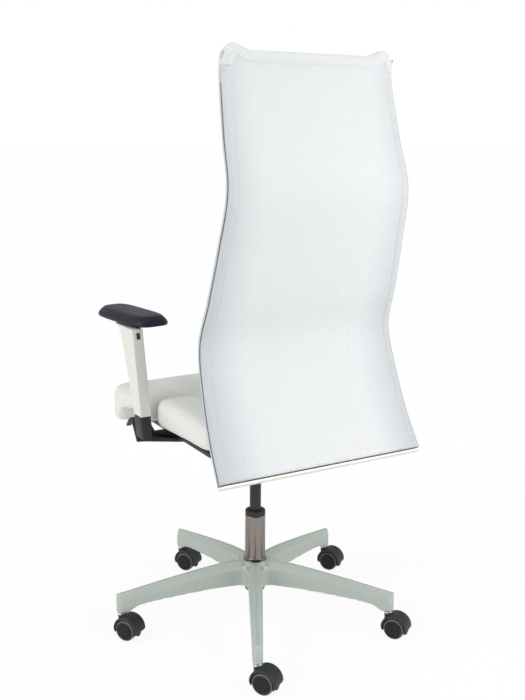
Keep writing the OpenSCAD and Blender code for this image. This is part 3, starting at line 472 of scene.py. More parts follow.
def hood_ring(angle):
    """Section of the fender at an angle round the axle, thinning to a point at each horn."""
    low, high = -HORN, math.pi + HORN
    end = min((angle - low) / math.radians(20), (high - angle) / math.radians(20), 1.0)
    outer = HOOD_IN + 0.0008 + (HOOD_R - HOOD_IN - 0.0008) * math.sin(min(max(end, 0), 1) * math.pi / 2)
    half = HOOD_HALF
    lip = min(0.0042, (outer - HOOD_IN) * 0.75)
    section = [(HOOD_IN, -half + 0.0006), (HOOD_IN + 0.0006, -half)]
    section += [(outer - lip + lip * math.sin(a), -half + lip - lip * math.cos(a))
                for a in (math.radians(15 * s) for s in range(7))]
    section += [(r, -s) for r, s in reversed(section)]
    return [(TRAIL + r * math.cos(angle), s, AXLE_Z + r * math.sin(angle)) for r, s in section]


def hood_mesh():
    sweep = [-HORN + (math.pi + 2 * HORN) * i / 60 for i in range(61)]
    fender = loft([hood_ring(a) for a in sweep])
    web_r = HOOD_R - 0.002
    outline = [(TRAIL + web_r * math.cos(a), AXLE_Z + web_r * math.sin(a)) for a in
               (math.radians(-28 + 236 * i / 48) for i in range(49))]
    web = loft([[(x, s, z) for x, z in outline] for s in (-WEB_HALF, WEB_HALF)])
    top = AXLE_Z + HOOD_R
    boss = turned([(0, top - 0.016), (0.0085, top - 0.016), (0.0093, top - 0.006), (0.0093, top - 0.0012),
                   (0.0083, top - 0.0002), (0, top - 0.0002)], 40)
    return merge_parts([fender, web, boss])


def pins_mesh():
    top = AXLE_Z + HOOD_R
    collar = turned([(0, top - 0.002), (0.0095, top - 0.002), (0.0102, top - 0.0008), (0.0102, top + 0.0018),
                     (0.0092, top + 0.0028), (0.0055, top + 0.003), (0.0055, top + 0.040),
                     (0.0045, top + 0.042),
                     (0, top + 0.042)], 40)
    points, faces = turned([(0, -0.019), (0.003, -0.019), (0.003, 0.019), (0, 0.019)], 24)
    lay = Matrix.Translation((TRAIL, 0, AXLE_Z)) @ Matrix.Rotation(math.pi / 2, 4, "X")
    return merge_parts([collar, ([lay @ Vector(p) for p in points], faces)])


def wheel_mesh(side):
    """Domed disc with a ring groove, and a tread moulded round it; its flat back faces the web."""
    half = WHEEL_W / 2
    profile = [(0, -half + 0.0005), (0.0188, -half + 0.0005), (0.0215, -half + 0.0008),
               (0.0238, -half + 0.0012),
               (WHEEL_R, -half + 0.0045), (WHEEL_R, half - 0.0048), (0.0247, half - 0.003),
               (0.0238, half - 0.0015), (0.0225, half - 0.0008), (0.0218, half - 0.0012),
               (0.0215, half - 0.0028),
               (0.0209, half - 0.0028), (0.0206, half - 0.0006), (0.0198, half - 0.0001),
               (0.0165, half + 0.0002), (0.016, half - 0.0004), (0.0155, half + 0.0002),
               (0.007, half + 0.0008),
               (0, half + 0.0009)]
    points, faces = turned(profile, 72)
    out = side * (WEB_HALF + 0.001 + half)
    lay = Matrix.Translation((TRAIL, out, AXLE_Z)) @ Matrix.Rotation(-side * math.pi / 2, 4, "X")
    return [lay @ Vector(p) for p in points], faces


hood_plastic = skin_material("caster_black_plastic", (0.018, 0.018, 0.022), 0.38, grain=1400, mottle=0.12,
                             bump=0.15, wear=0.35, worn=(0.07, 0.07, 0.08))
zinc = skin_material("zinc_plated_steel", (0.72, 0.73, 0.75), 0.3, metallic=1.0, grain=600, mottle=0.1,
                     bump=0.04, wear=0.2)
wheel_disc = skin_material("wheel_disc_plastic", (0.012, 0.012, 0.015), 0.45, grain=1100, mottle=0.1,
                           bump=0.12)
wheel_tread = skin_material("wheel_tread_rubber", (0.135, 0.115, 0.095), 0.62, grain=2200, mottle=0.14,
                            bump=0.25)
for k in range(1, ARMS + 1):
    place = caster_frame(k)
    hood = add_piece(f"caster_hood_moulding_{k}", *hood_mesh(), sharp=50)
    hood.data.transform(place)
    dress(hood, hood_plastic, f"caster_{k}", "hood_plastic", f"caster_hood_{k}")
    pins = add_piece(f"caster_stem_and_axle_{k}", *pins_mesh())
    pins.data.transform(place)
    dress(pins, zinc, f"caster_{k}", "zinc_steel", f"caster_pins_{k}")
    for side, word in ((1, "left"), (-1, "right")):
        wheel = add_piece(f"{word}_wheel_{k}", *wheel_mesh(side), sharp=40)
        hub = Vector((TRAIL, 0, AXLE_Z))
        tread_faces = [((f.center - hub) * Vector((1, 0, 1))).length > 0.0208 for f in wheel.data.polygons]
        wheel.data.transform(place)
        dress(wheel, [wheel_disc, wheel_tread], f"{word}_wheel_{k}", "wheel_tread", f"wheel_{word}_{k}")
        for f, is_tread in zip(wheel.data.polygons, tread_faces):
            f.material_index = int(is_tread)

# ---------------------------------------------------------------- gas column
# A chromed steel tube pressed in the hub's taper with a flared ring at its foot, a black nylon
# bush on top, and the black cylinder of the gas spring sliding through it.
tube_low, tube_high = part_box("column_tube")
bush_low, bush_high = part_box("guide_bush")
lift_low, lift_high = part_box("gas_cylinder")
TUBE_R = 0.025
tube = add_piece("chromed_column_tube", *turned([
    (TUBE_R - 0.002, tube_low[2]), (TUBE_R - 0.0003, tube_low[2]),
    (TUBE_R, HUB_TOP_Z - 0.002), (TUBE_R + 0.0045, HUB_TOP_Z - 0.001), (TUBE_R + 0.005, HUB_TOP_Z + 0.0008),
    (TUBE_R + 0.004, HUB_TOP_Z + 0.002), (TUBE_R + 0.001, HUB_TOP_Z + 0.0032), (TUBE_R, HUB_TOP_Z + 0.0045),
    (TUBE_R, tube_high[2] - 0.001), (TUBE_R - 0.0008, tube_high[2]), (TUBE_R - 0.002, tube_high[2])], 96))
chrome = skin_material("chrome_plate", (0.27, 0.235, 0.22), 0.14, metallic=1.0, grain=300, mottle=0.05,
                       bump=0.01,
                       wear=0.0)
dress(tube, chrome, "base", "chrome", "column_tube")
COLLAR_R, LIFT_R, LIFT_BORE = 0.0249, 0.014, 0.0115
bush_top = bush_high[2] - 0.004
collar = add_piece("column_guide_bush", *turned([
    (LIFT_R + 0.0003, bush_low[2]), (0.0228, bush_low[2]), (0.0228, tube_high[2] - 0.0002),
    (COLLAR_R, tube_high[2] + 0.0002),
    (COLLAR_R, bush_top - 0.0035), (COLLAR_R - 0.001, bush_top - 0.0012),
    (COLLAR_R - 0.003, bush_top), (LIFT_R + 0.0035, bush_top), (LIFT_R + 0.0025, bush_top - 0.0012),
    (LIFT_R + 0.0003, bush_top - 0.002)], 80))
moulded_black = skin_material("moulded_black_nylon", (0.02, 0.02, 0.024), 0.42, grain=1300, mottle=0.12,
                              bump=0.2,
                              worn=(0.07, 0.07, 0.08))
dress(collar, moulded_black, "base", "black_plastic", "guide_bush")
cylinder = add_piece("gas_spring_cylinder", *turned([
    (LIFT_BORE, lift_low[2]), (LIFT_R - 0.0006, lift_low[2]), (LIFT_R, lift_low[2] + 0.0006),
    (LIFT_R, lift_high[2] - 0.022),
    (LIFT_R - 0.0008, lift_high[2] - 0.0006), (LIFT_R - 0.0015, lift_high[2]), (0.003, lift_high[2]),
    (0.003, lift_high[2] - 0.004),
    (LIFT_BORE, lift_high[2] - 0.006)], 72))
satin_black = skin_material("satin_black_enamel", (0.012, 0.012, 0.014), 0.3, grain=1200, mottle=0.1,
                            bump=0.05,
                            worn=(0.06, 0.06, 0.065), coat=0.2)
dress(cylinder, satin_black, "mechanism", "black_metal", "gas_cylinder")

# ---------------------------------------------------------------- mechanism
# Pressed and cast steel parts under the seat, in black enamel, with their pins and bolts in
# zinc plate. Presses and moulds leave a small round on every edge, so each frame part gets one.


def soften(node, name, material, slot, radius=0.0009, steps=2):
    """A frame part with its edges rounded off, in its own finish, standing in its own place."""
    source = nodes[node]
    mesh = source.data.copy()
    mesh.name = name
    made = bmesh.new()
    made.from_mesh(mesh)
    bmesh.ops.remove_doubles(made, verts=made.verts, dist=2e-5)
    bmesh.ops.dissolve_limit(made, angle_limit=math.radians(2), verts=made.verts, edges=made.edges)
    made.to_mesh(mesh)
    made.free()
    piece = bpy.data.objects.new(name, mesh)
    scene.collection.objects.link(piece)
    round_edges = piece.modifiers.new("round", "BEVEL")
    round_edges.width, round_edges.segments = radius, steps
    round_edges.limit_method, round_edges.angle_limit = "ANGLE", math.radians(28)
    bpy.context.view_layer.update()
    done = bpy.data.meshes.new_from_object(piece.evaluated_get(bpy.context.evaluated_depsgraph_get()))
    piece.modifiers.clear()
    piece.data = done
    done.name = name
    done.shade_smooth()
    done.set_sharp_from_angle(angle=math.radians(35))
    dress(piece, material, source["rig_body"], slot, node)
    return piece


def refinish(material, *names):
    """Puts a finish on frame parts whose shape stays as it is."""
    for name in names:
        mesh = nodes[name].data
        mesh.materials.clear()
        mesh.materials.append(material)


cast_black = skin_material("cast_black_enamel", (0.016, 0.016, 0.018), 0.42, grain=700, mottle=0.12, bump=0.3,
                           depth=0.0002, worn=(0.07, 0.07, 0.075))
oiled_steel = skin_material("oiled_spring_steel", (0.30, 0.30, 0.31), 0.35, metallic=1.0, grain=500,
                            mottle=0.2,
                            bump=0.05)
brass = skin_material("turned_brass", (0.70, 0.52, 0.25), 0.3, metallic=1.0, grain=500, mottle=0.1, bump=0.05)
for node, name, radius in (("mech_housing", "tilt_housing_casting", 0.0018),
                           ("seat_plate", "seat_plate_pressing", 0.0012),
                           ("back_bar", "back_carrier_bar", 0.0014)):
    soften(node, name, cast_black, "black_metal", radius)
for node, name in (("tension_knob", "tension_knob_moulding"), ("height_lever", "height_lever_moulding"),
                   ("tilt_lever", "tilt_lever_moulding"), ("back_spacer", "back_spacer_block")):
    soften(node, name, moulded_black, "black_plastic")
refinish(zinc, "tilt_pin", "recline_pin", "link_pin", "seat_bolts", "back_bolts", "arm_bolts", "rod_clip")
refinish(oiled_steel, "tilt_spring", "piston_rod", "thrust_bearing")
refinish(brass, "valve_pin")

# ---------------------------------------------------------------- seat shell
# A flat black moulded shell, bolted to the seat plate from below.
soften("seat_shell", "seat_shell_moulding", moulded_black, "black_plastic", 0.0015)

# ---------------------------------------------------------------- seat cushion
# Moulded foam under a sewn cover of white imitation leather: a crowned middle pad that rolls over
# the front edge, and two bolsters a side with a gap between them for the arm.
cushion_low, cushion_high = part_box("seat_cushion")
shell_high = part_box("seat_shell")[1]
SEAT_FRONT, SEAT_REAR = cushion_low[1], cushion_high[1]
SEAT_SIDE, CROWN_Z, ROLL_Z = cushion_high[0], cushion_high[2], cushion_low[2]
SEAT_FOOT_Z = shell_high[2] + 0.001
NOTCH_REAR, NOTCH_FRONT = -0.038, -0.080
REAR_TAPER = 0.026
SIDE_FOOT_Z = SEAT_FOOT_Z + 0.014
PAD_SIDE = 0.190
FOAM_SHRINK = 0.003


def round_outline(points, passes=3):
    """Cuts the corners of a closed outline until it is smooth."""
    for _ in range(passes):
        cut = []
        for i, a in enumerate(points):
            b = points[(i + 1) % len(points)]
            cut += [tuple(0.75 * p + 0.25 * q for p, q in zip(a, b)),
                    tuple(0.25 * p + 0.75 * q for p, q in zip(a, b))]
        points = cut
    return points


def shrink_outline(points, distance):
    """Moves a smooth closed outline, given anticlockwise, inwards by a distance."""
    moved = []
    for i, p in enumerate(points):
        a, b = points[i - 1], points[(i + 1) % len(points)]
        along = Vector((b[0] - a[0], b[1] - a[1])).normalized()
        moved.append((p[0] - along.y * distance, p[1] + along.x * distance))
    return moved


def pad_block(outline, low_x, high_x, radius):
    """A pad with that side outline (y, z), its two ends rounded off by a radius."""
    outline = round_outline(outline)
    area = sum(p[0] * q[1] - q[0] * p[1] for p, q in zip(outline, outline[1:] + outline[:1]))
    outline = outline if area > 0 else outline[::-1]
    rings = []
    for end, sign in ((low_x, 1), (high_x, -1)):
        steps = [radius * (1 - math.cos(math.radians(15 * s))) for s in range(7)]
        part = [(end + sign * t, radius - math.sqrt(max(radius**2 - (radius - t) ** 2, 0))) for t in steps]
        rings += part if sign > 0 else part[::-1]
    return loft([[(x, y, z) for y, z in shrink_outline(outline, d * 0.94)] for x, d in rings])


top = CROWN_Z + 0.003
FRONT_EDGE = SEAT_FRONT - 0.014
front, rear = FRONT_EDGE, SEAT_REAR - FOAM_SHRINK
middle_outline = [(rear, SEAT_FOOT_Z), (rear, top - 0.016), (rear - 0.035, top - 0.002), (0.03, top - 0.001),
                  (-0.14, top + 0.001), (front + 0.062, top), (front + 0.004, top - 0.012),
                  (front, top - 0.05), (front, ROLL_Z + 0.014), (front + 0.022, ROLL_Z + 0.002),
                  (front + 0.046, ROLL_Z + 0.008), (front + 0.056, SEAT_FOOT_Z - 0.002),
                  (front + 0.075, SEAT_FOOT_Z + 0.001)]
rear_outline = [(NOTCH_REAR, SIDE_FOOT_Z + 0.004), (NOTCH_REAR, top + 0.010),
                (NOTCH_REAR + 0.016, top + 0.021),
                (0.06, top + 0.017), (rear - 0.05, top + 0.003), (rear, top - 0.016),
                (rear, SIDE_FOOT_Z + 0.006),
                (rear - 0.02, SIDE_FOOT_Z - 0.004), (0.09, SIDE_FOOT_Z),
                (NOTCH_REAR + 0.022, SIDE_FOOT_Z + 0.002)]
front_outline = [(NOTCH_FRONT, SIDE_FOOT_Z + 0.002), (NOTCH_FRONT, top - 0.006),
                 (NOTCH_FRONT - 0.03, top + 0.005),
                 (-0.2, top + 0.004), (front + 0.05, top + 0.001), (front + 0.004, top - 0.016),
                 (front, top - 0.052), (front + 0.001, ROLL_Z + 0.008), (front + 0.02, ROLL_Z - 0.006),
                 (front + 0.05, ROLL_Z - 0.003), (front + 0.066, ROLL_Z + 0.024),
                 (front + 0.084, SIDE_FOOT_Z + 0.004),
                 (-0.17, SIDE_FOOT_Z + 0.006), (NOTCH_FRONT - 0.02, SIDE_FOOT_Z)]
pads = [pad_block(middle_outline, -PAD_SIDE, PAD_SIDE, 0.024),
        pad_block([(rear - 0.02, SEAT_FOOT_Z), (rear - 0.02, top - 0.022), (front + 0.05, top - 0.022),
                   (front + 0.06, SEAT_FOOT_Z)], -shell_high[0] - 0.002, shell_high[0] + 0.002, 0.012)]
for side in (-1, 1):
    for outline in (rear_outline, front_outline):
        inner, outer = side * (PAD_SIDE - 0.045), side * SEAT_SIDE
        pads.append(pad_block(outline, min(inner, outer), max(inner, outer), 0.024))


def tuck_corners(points):
    """Draws the seat in towards its rear and rounds the four corners of its plan."""
    tucked = []
    for p in points:
        x, y, z = p
        x *= 1 - REAR_TAPER / SEAT_SIDE * max(y - NOTCH_REAR, 0) / (SEAT_REAR - NOTCH_REAR)
        for y_edge, inward, radius in ((FRONT_EDGE, 1, 0.038), (SEAT_REAR, -1, 0.055)):
            side_x = SEAT_SIDE - (REAR_TAPER if inward < 0 else 0)
            dx = abs(x) - (side_x - radius)
            dy = (y_edge + inward * radius - y) * inward
            if dx > 0 and dy > 0:
                reach = math.hypot(dx, dy)
                square = max(dx, dy)
                x = math.copysign(side_x - radius + dx * square / reach, x)
                y = y_edge + inward * (radius - dy * square / reach)
        tucked.append((x, y, z))
    return tucked


cushion_points, cushion_faces = merge_parts(pads)
cushion = add_piece("seat_cushion_cover", tuck_corners(cushion_points), cushion_faces)
FOAM_GRAIN = 0.006
melt_together(cushion, FOAM_GRAIN, 4)


def puff(piece, held, pressure, cap, frames=20):
    """Inflates a closed cover by cloth simulation; the held points stay sewn down."""
    start = np.array([v.co[:] for v in piece.data.vertices])
    group = piece.vertex_groups.new(name="sewn")
    for i, weight in held.items():
        group.add([i], weight, "REPLACE")
    cloth = piece.modifiers.new("puff", "CLOTH")
    settings = cloth.settings
    settings.quality, settings.mass = 6, 0.3
    settings.tension_stiffness = settings.compression_stiffness = 22
    settings.bending_stiffness = 1.2
    settings.use_pressure, settings.uniform_pressure_force = True, pressure
    settings.effector_weights.gravity = 0
    settings.vertex_group_mass = "sewn"
    cloth.point_cache.frame_start, cloth.point_cache.frame_end = 1, frames
    for step in range(1, frames + 1):
        scene.frame_set(step)
    moved = piece.evaluated_get(bpy.context.evaluated_depsgraph_get()).data
    end = np.array([v.co[:] for v in moved.vertices])
    piece.modifiers.clear()
    piece.vertex_groups.clear()
    scene.frame_set(1)
    shift = end - start
    length = np.linalg.norm(shift, axis=1)
    shift *= np.minimum(1, cap / np.maximum(length, 1e-9))[:, None]
    piece.data.vertices.foreach_set("co", (start + shift).ravel())
    piece.data.update()


def subdivide_once(piece):
    """One level of subdivision, applied."""
    finer = piece.modifiers.new("finer", "SUBSURF")
    finer.levels = finer.render_levels = 1
    bpy.context.view_layer.update()
    done = bpy.data.meshes.new_from_object(piece.evaluated_get(bpy.context.evaluated_depsgraph_get()))
    piece.modifiers.clear()
    piece.data = done
    done.name = piece.name
    done.shade_smooth()


def valley_weight(co):
    """How firmly a point is held: fully under the seat, and in the seam beside the middle pad."""
    if co.z < SEAT_FOOT_Z + 0.008 and co.y > SEAT_FRONT + 0.06:
        return 1.0
    seam = 1 - abs(abs(co.x) - (PAD_SIDE - 0.028)) / 0.009
    return max(seam, 0) if co.z > SEAT_FOOT_Z + 0.03 else 0


held = {v.index: valley_weight(v.co) for v in cushion.data.vertices if valley_weight(v.co) > 0}
puff(cushion, held, 4.0, 0.007)
subdivide_once(cushion)


def build_pebble():
    """Embossed leather grain: small rounded cells with creases between them."""
    group, given, out = node_group("leather_pebble", [("Vector", "Vector", None),
                                                      ("Cell Scale", "Float", 650.0)],
                                   [("Height", "Float"), ("Crease", "Float")])
    cells, folds = group.nodes.new("ShaderNodeTexVoronoi"), group.nodes.new("ShaderNodeTexNoise")
    cells.feature = "DISTANCE_TO_EDGE"
    folds.inputs["Scale"].default_value, folds.inputs["Detail"].default_value = 22, 5
    group.links.new(given.outputs["Vector"], cells.inputs["Vector"])
    group.links.new(given.outputs["Vector"], folds.inputs["Vector"])
    group.links.new(given.outputs["Cell Scale"], cells.inputs["Scale"])
    crown = math_node(group, "MINIMUM", math_node(group, "MULTIPLY", cells.outputs["Distance"], 4.0), 1.0)
    group.links.new(math_node(group, "ADD", crown, math_node(group, "MULTIPLY", folds.outputs["Fac"], 1.6)),
                    out.inputs["Height"])
    group.links.new(math_node(group, "SUBTRACT", 1.0, crown), out.inputs["Crease"])
    return group


pebble_group = build_pebble()


def leather_material(name, color, crease_shade_color, roughness, cell, depth, bump):
    """Imitation leather: embossed pebble, creases darkened with painted shade, and an uneven soft gloss."""
    material = skin_material(name, color, roughness, grain=cell * 2, mottle=0.035, bump=bump, depth=depth,
                             wear=0.15,
                             worn=[min(c * 1.06, 1) for c in color])
    tree = material.node_tree
    shader = tree.nodes["Principled BSDF"]
    pebble = tree.nodes.new("ShaderNodeGroup")
    pebble.node_tree = pebble_group
    pebble.inputs["Cell Scale"].default_value = cell
    place = next(n for n in tree.nodes if n.type == "TEX_COORD")
    tree.links.new(place.outputs["Object"], pebble.inputs["Vector"])
    relief = next(n for n in tree.nodes if n.type == "BUMP")
    tree.links.new(pebble.outputs["Height"], relief.inputs["Height"])
    # Painted shade: the pebble's creases are darkened towards the second colour.
    tint = tree.nodes.new("ShaderNodeMix")
    tint.data_type = "RGBA"
    tree.links.new(math_node(tree, "MULTIPLY", pebble.outputs["Crease"], 0.5), tint.inputs["Factor"])
    tree.links.new(shader.inputs["Base Color"].links[0].from_socket, tint.inputs["A"])
    tint.inputs["B"].default_value = (*crease_shade_color, 1)
    tree.links.new(tint.outputs["Result"], shader.inputs["Base Color"])
    return material


# The second colour is the painted shade in the pebble's creases.
white_leather = leather_material("white_imitation_leather", (0.765, 0.755, 0.735), (0.66, 0.655, 0.62), 0.46,
                                 620,
                                 0.00018, 0.35)
dress(cushion, white_leather, "seat", "white_leather", "seat_cushion")

# ---------------------------------------------------------------- arms
# An ivory moulded sleeve that slides on the bracket's post, a black release button in its rear
# face, and a soft black pad of moulded polyurethane screwed to a flat plate on top.
ARM_LEAN = math.radians(11.5)
sleeve_low, sleeve_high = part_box("arm_sleeve_left")
pad_low, pad_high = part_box("arm_pad_left")
SLEEVE_Z, SLEEVE_TOP = sleeve_low[2], sleeve_high[2]
SLEEVE_T = sleeve_high[0] - sleeve_low[0]
SLEEVE_X = (sleeve_high[0] + sleeve_low[0]) / 2
SLEEVE_REAR_Y, SLEEVE_D = sleeve_high[1], 0.044
POST_T, POST_D, POST_TOP = SLEEVE_T - 0.008, SLEEVE_D - 0.009, 0.166
POST_ROOM = 0.0003
BUTTON_HALF, BUTTON_DEPTH, BUTTON_UP = 0.0043, 0.014, (0.1727, 0.1873)


def corner_ring(low, high, radii, steps=6):
    """Rounded rectangle in plan, anticlockwise from its rear outer corner; one radius a corner."""
    (x0, y0), (x1, y1) = low, high
    ring = []
    for (cx, cy, sx, sy), r, start in zip(((x1, y1, -1, -1), (x0, y1, 1, -1), (x0, y0, 1, 1),
                                           (x1, y0, -1, 1)),
                                          radii, (0, 90, 180, 270)):
        for s in range(steps + 1):
            a = math.radians(start + 90 * s / steps)
            ring.append((cx + sx * r + r * math.cos(a), cy + sy * r + r * math.sin(a)))
    return ring


def sleeve_front(t):
    return -curve_at([(0, 0.063), (0.35, 0.088), (0.7, 0.115), (0.9, 0.133), (0.97, 0.146), (1, 0.163)], t)


def sleeve_rings():
    """Rings from the roof of the post's pocket, down its wall, over the foot and up the outside."""
    height = SLEEVE_TOP - SLEEVE_Z
    rings = []
    for up in (POST_TOP + 0.004, 0.08, -0.002):
        y = SLEEVE_REAR_Y - SLEEVE_D / 2 - math.tan(ARM_LEAN) * up
        z = SLEEVE_Z + max(up * math.cos(ARM_LEAN), 0)
        half_t, half_d = POST_T / 2 + POST_ROOM, (POST_D / 2 + POST_ROOM) / math.cos(ARM_LEAN)
        rings.append([(x, y2, z) for x, y2 in corner_ring((SLEEVE_X - half_t, y - half_d),
                                                         (SLEEVE_X + half_t, y + half_d), (0.0006,) * 4)])
    for step in [0, 0.0035] + [0.02 + 0.98 * (1 - (1 - i / 27) ** 1.6) for i in range(28)]:
        ease = 0.0007 if step == 0 else 0.0
        y1 = SLEEVE_REAR_Y - math.tan(ARM_LEAN) * height * step - ease
        soft = 0.0045
        rings.append([(x, y, SLEEVE_Z + height * step) for x, y in
                      corner_ring((sleeve_low[0] + ease, sleeve_front(step) + ease),
                                  (sleeve_high[0] - ease, y1), (0.0013, 0.0028, soft, soft))])
    return rings


def cut_box(piece, low, high, turn):
    """Cuts a box shaped hole, turned by a matrix, out of a piece."""
    corners = [turn @ Vector((x, y, z)) for z in (low[2], high[2])
               for x, y in ((low[0], low[1]), (high[0], low[1]), (high[0], high[1]), (low[0], high[1]))]
    cut_away(piece, corners, [(3, 2, 1, 0), (4, 5, 6, 7), (0, 1, 5, 4), (1, 2, 6, 5), (2, 3, 7, 6),
                              (3, 0, 4, 7)])
    piece.data.set_sharp_from_angle(angle=math.radians(24))


PAD_TURN = math.radians(7)
pad_mid = Vector(((pad_low[0] + pad_high[0]) / 2, (pad_low[1] + pad_high[1]) / 2, 0))
PAD_HALF_W, PAD_HALF_L = 0.048, 0.111


def pad_outline(inset):
    """Plan of an arm pad: bowed sides that draw in to narrower round ends."""
    points = []
    for j in range(80):
        a = 2 * math.pi * j / 80
        c, s = math.cos(a), math.sin(a)
        x = math.copysign(abs(c) ** 0.5, c) * (1 - 0.10 * abs(s) ** 3) * (PAD_HALF_W - inset)
        y = math.copysign(abs(s) ** 0.42, s) * (PAD_HALF_L - inset)
        points.append((pad_mid.x + x * math.cos(PAD_TURN) - y * math.sin(PAD_TURN),
                       pad_mid.y + x * math.sin(PAD_TURN) + y * math.cos(PAD_TURN)))
    return points


def arm_pad_mesh():
    depth = pad_high[2] - pad_low[2]
    levels = [(0.004, 0), (0.0012, 0.0008), (0.0, 0.003), (0.0003, 0.006), (0.0022, 0.0105), (0.0062, 0.0155),
              (0.0102, 0.0196), (0.0126, 0.0216), (0.0165, 0.0229), (0.024, 0.0236)]
    rings = [[(x, y, pad_low[2] + up) for x, y in pad_outline(inset)] for inset, up in levels]
    rings += [[(pad_mid.x + (x - pad_mid.x) * k, pad_mid.y + (y - pad_mid.y) * k,
                pad_low[2] + depth - 0.0002 * k)
               for x, y in pad_outline(0.024)] for k in (0.8, 0.5, 0.2)]
    return loft(rings)


ivory = skin_material("ivory_moulded_nylon", (0.715, 0.715, 0.655), 0.38, grain=1500, mottle=0.02, bump=0.1,
                      worn=(0.76, 0.76, 0.70), wear=0.2)
# The second colour is the painted shade in the pebble's creases.
soft_black = leather_material("black_polyurethane_skin", (0.020, 0.020, 0.033), (0.014, 0.014, 0.02), 0.4,
                              900,
                              0.00012, 0.3)
mirror = Matrix.Scale(-1, 4, (1, 0, 0))


def place_side(piece, side):
    """The right arm is the left one mirrored, with its faces turned back outwards."""
    if side == "right":
        piece.data.transform(mirror)
        piece.data.flip_normals()


for side in ("left", "right"):
    sleeve = add_piece(f"arm_sleeve_moulding_{side}", *loft(sleeve_rings()), sharp=24)
    lean = (Matrix.Translation((SLEEVE_X, SLEEVE_REAR_Y - SLEEVE_D / 2, SLEEVE_Z))
            @ Matrix.Rotation(ARM_LEAN, 4, "X"))
    cut_box(sleeve, (-BUTTON_HALF, SLEEVE_D / 2 - BUTTON_DEPTH, BUTTON_UP[0]),
            (BUTTON_HALF, SLEEVE_D / 2 + 0.03, BUTTON_UP[1]), lean)
    place_side(sleeve, side)
    dress(sleeve, ivory, f"{side}_arm", "ivory_plastic", f"arm_sleeve_{side}")
    pad = add_piece(f"arm_pad_skin_{side}", *arm_pad_mesh(), sharp=60)
    place_side(pad, side)
    dress(pad, soft_black, f"{side}_arm", "black_pu", f"arm_pad_{side}")
    soften(f"arm_bracket_{side}", f"arm_bracket_casting_{side}", cast_black, "black_metal", 0.0016)
    soften(f"arm_button_{side}", f"arm_release_button_{side}", moulded_black, "black_plastic", 0.0006)
    soften(f"arm_pad_plate_{side}", f"arm_pad_plate_moulding_{side}", moulded_black, "black_plastic", 0.0008)

# ---------------------------------------------------------------- back
# A bent steel tube frame inside a sewn sock of white knitted mesh: a rear and a front layer meet at
# a corded seam along each side, a sleeve covers the top tube, and a flat rail closes the foot.
rear_low, rear_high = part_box("back_mesh_rear")
BACK_R, BACK_FOOT_Y, BACK_FOOT_Z, BACK_H = 0.014, 0.295, 0.481, 0.871
BACK_FOOT_W, BACK_TOP_W = rear_high[0] - rear_low[0], 0.408
BACK_LINE = [(0, 0), (0.09, -0.046), (0.19, -0.084), (0.31, -0.113), (0.42, -0.085), (0.55, -0.055),
             (0.68, -0.033), (0.8, -0.062), (0.94, -0.088), (1, -0.082)]
TOP_DIP, CORNER = 0.012, 0.022
SEAM_ANGLE = math.radians(18)
MESH_T = 0.0009


def back_mid(s):
    return BACK_FOOT_Y + curve_at(BACK_LINE, s)


def back_half(s):
    return curve_at([(0, BACK_FOOT_W), (0.25, BACK_FOOT_W * 0.76 + BACK_TOP_W * 0.24 + 0.003),
                     (0.66, BACK_FOOT_W * 0.33 + BACK_TOP_W * 0.67), (1, BACK_TOP_W)], s) / 2


def back_point(s, x, n):
    """A place on the back: share of its height, distance across, distance out of its rear face."""
    lean = math.atan2(back_mid(s + 0.01) - back_mid(s - 0.01), BACK_H * 0.02)
    return Vector((x, back_mid(s) + n * math.cos(lean), BACK_FOOT_Z + BACK_H * s - n * math.sin(lean)))


FRAME_HEAD = 1 - BACK_R / BACK_H
DIP = TOP_DIP / BACK_H
MESH_FOOT, MESH_HEAD = 0.003, FRAME_HEAD - DIP - (BACK_R + 0.0003) / BACK_H
ROWS, ACROSS, WRAP = 150, 44, 9


def layer_row(s, face):
    """Places and lengths along one row of a layer: round a tube, across, and round the other tube."""
    half = back_half(s) - BACK_R
    far = math.radians(90) * face
    near = SEAM_ANGLE - math.radians(0 if face > 0 else 3)
    side = [(half + BACK_R * math.cos(near + (far - near) * i / WRAP),
             BACK_R * math.sin(near + (far - near) * i / WRAP),
             BACK_R * abs(far - near) * i / WRAP) for i in range(WRAP + 1)]
    arc = side[-1][2]
    row = side + [(half - 2 * half * i / ACROSS, BACK_R * face, arc + 2 * half * i / ACROSS)
                  for i in range(1, ACROSS)]
    row += [(-x, n, arc * 2 + 2 * half - along) for x, n, along in reversed(side)]
    centre = arc + half
    return [(back_point(s, x, n), along - centre) for x, n, along in row]


def head_line(x):
    """Height share of the top tube's middle: level between the corners, raised towards each end."""
    rise = min(max((abs(x) - back_half(1) + BACK_R + CORNER * 2.2) / (CORNER * 1.7), 0), 1)
    return FRAME_HEAD - DIP * (1 - rise * rise * (3 - 2 * rise))


def draw_in(s, x, face):
    """The knit is pulled tight, so it bows in between its edges, most at the middle of a stretch."""
    u = min(abs(x) / (back_half(s) - BACK_R), 1)
    v = min(max((s - MESH_FOOT) / (MESH_HEAD - MESH_FOOT), 0), 1)
    return -face * 0.0035 * (1 - u**2) * (1 - (2 * v - 1) ** 4)


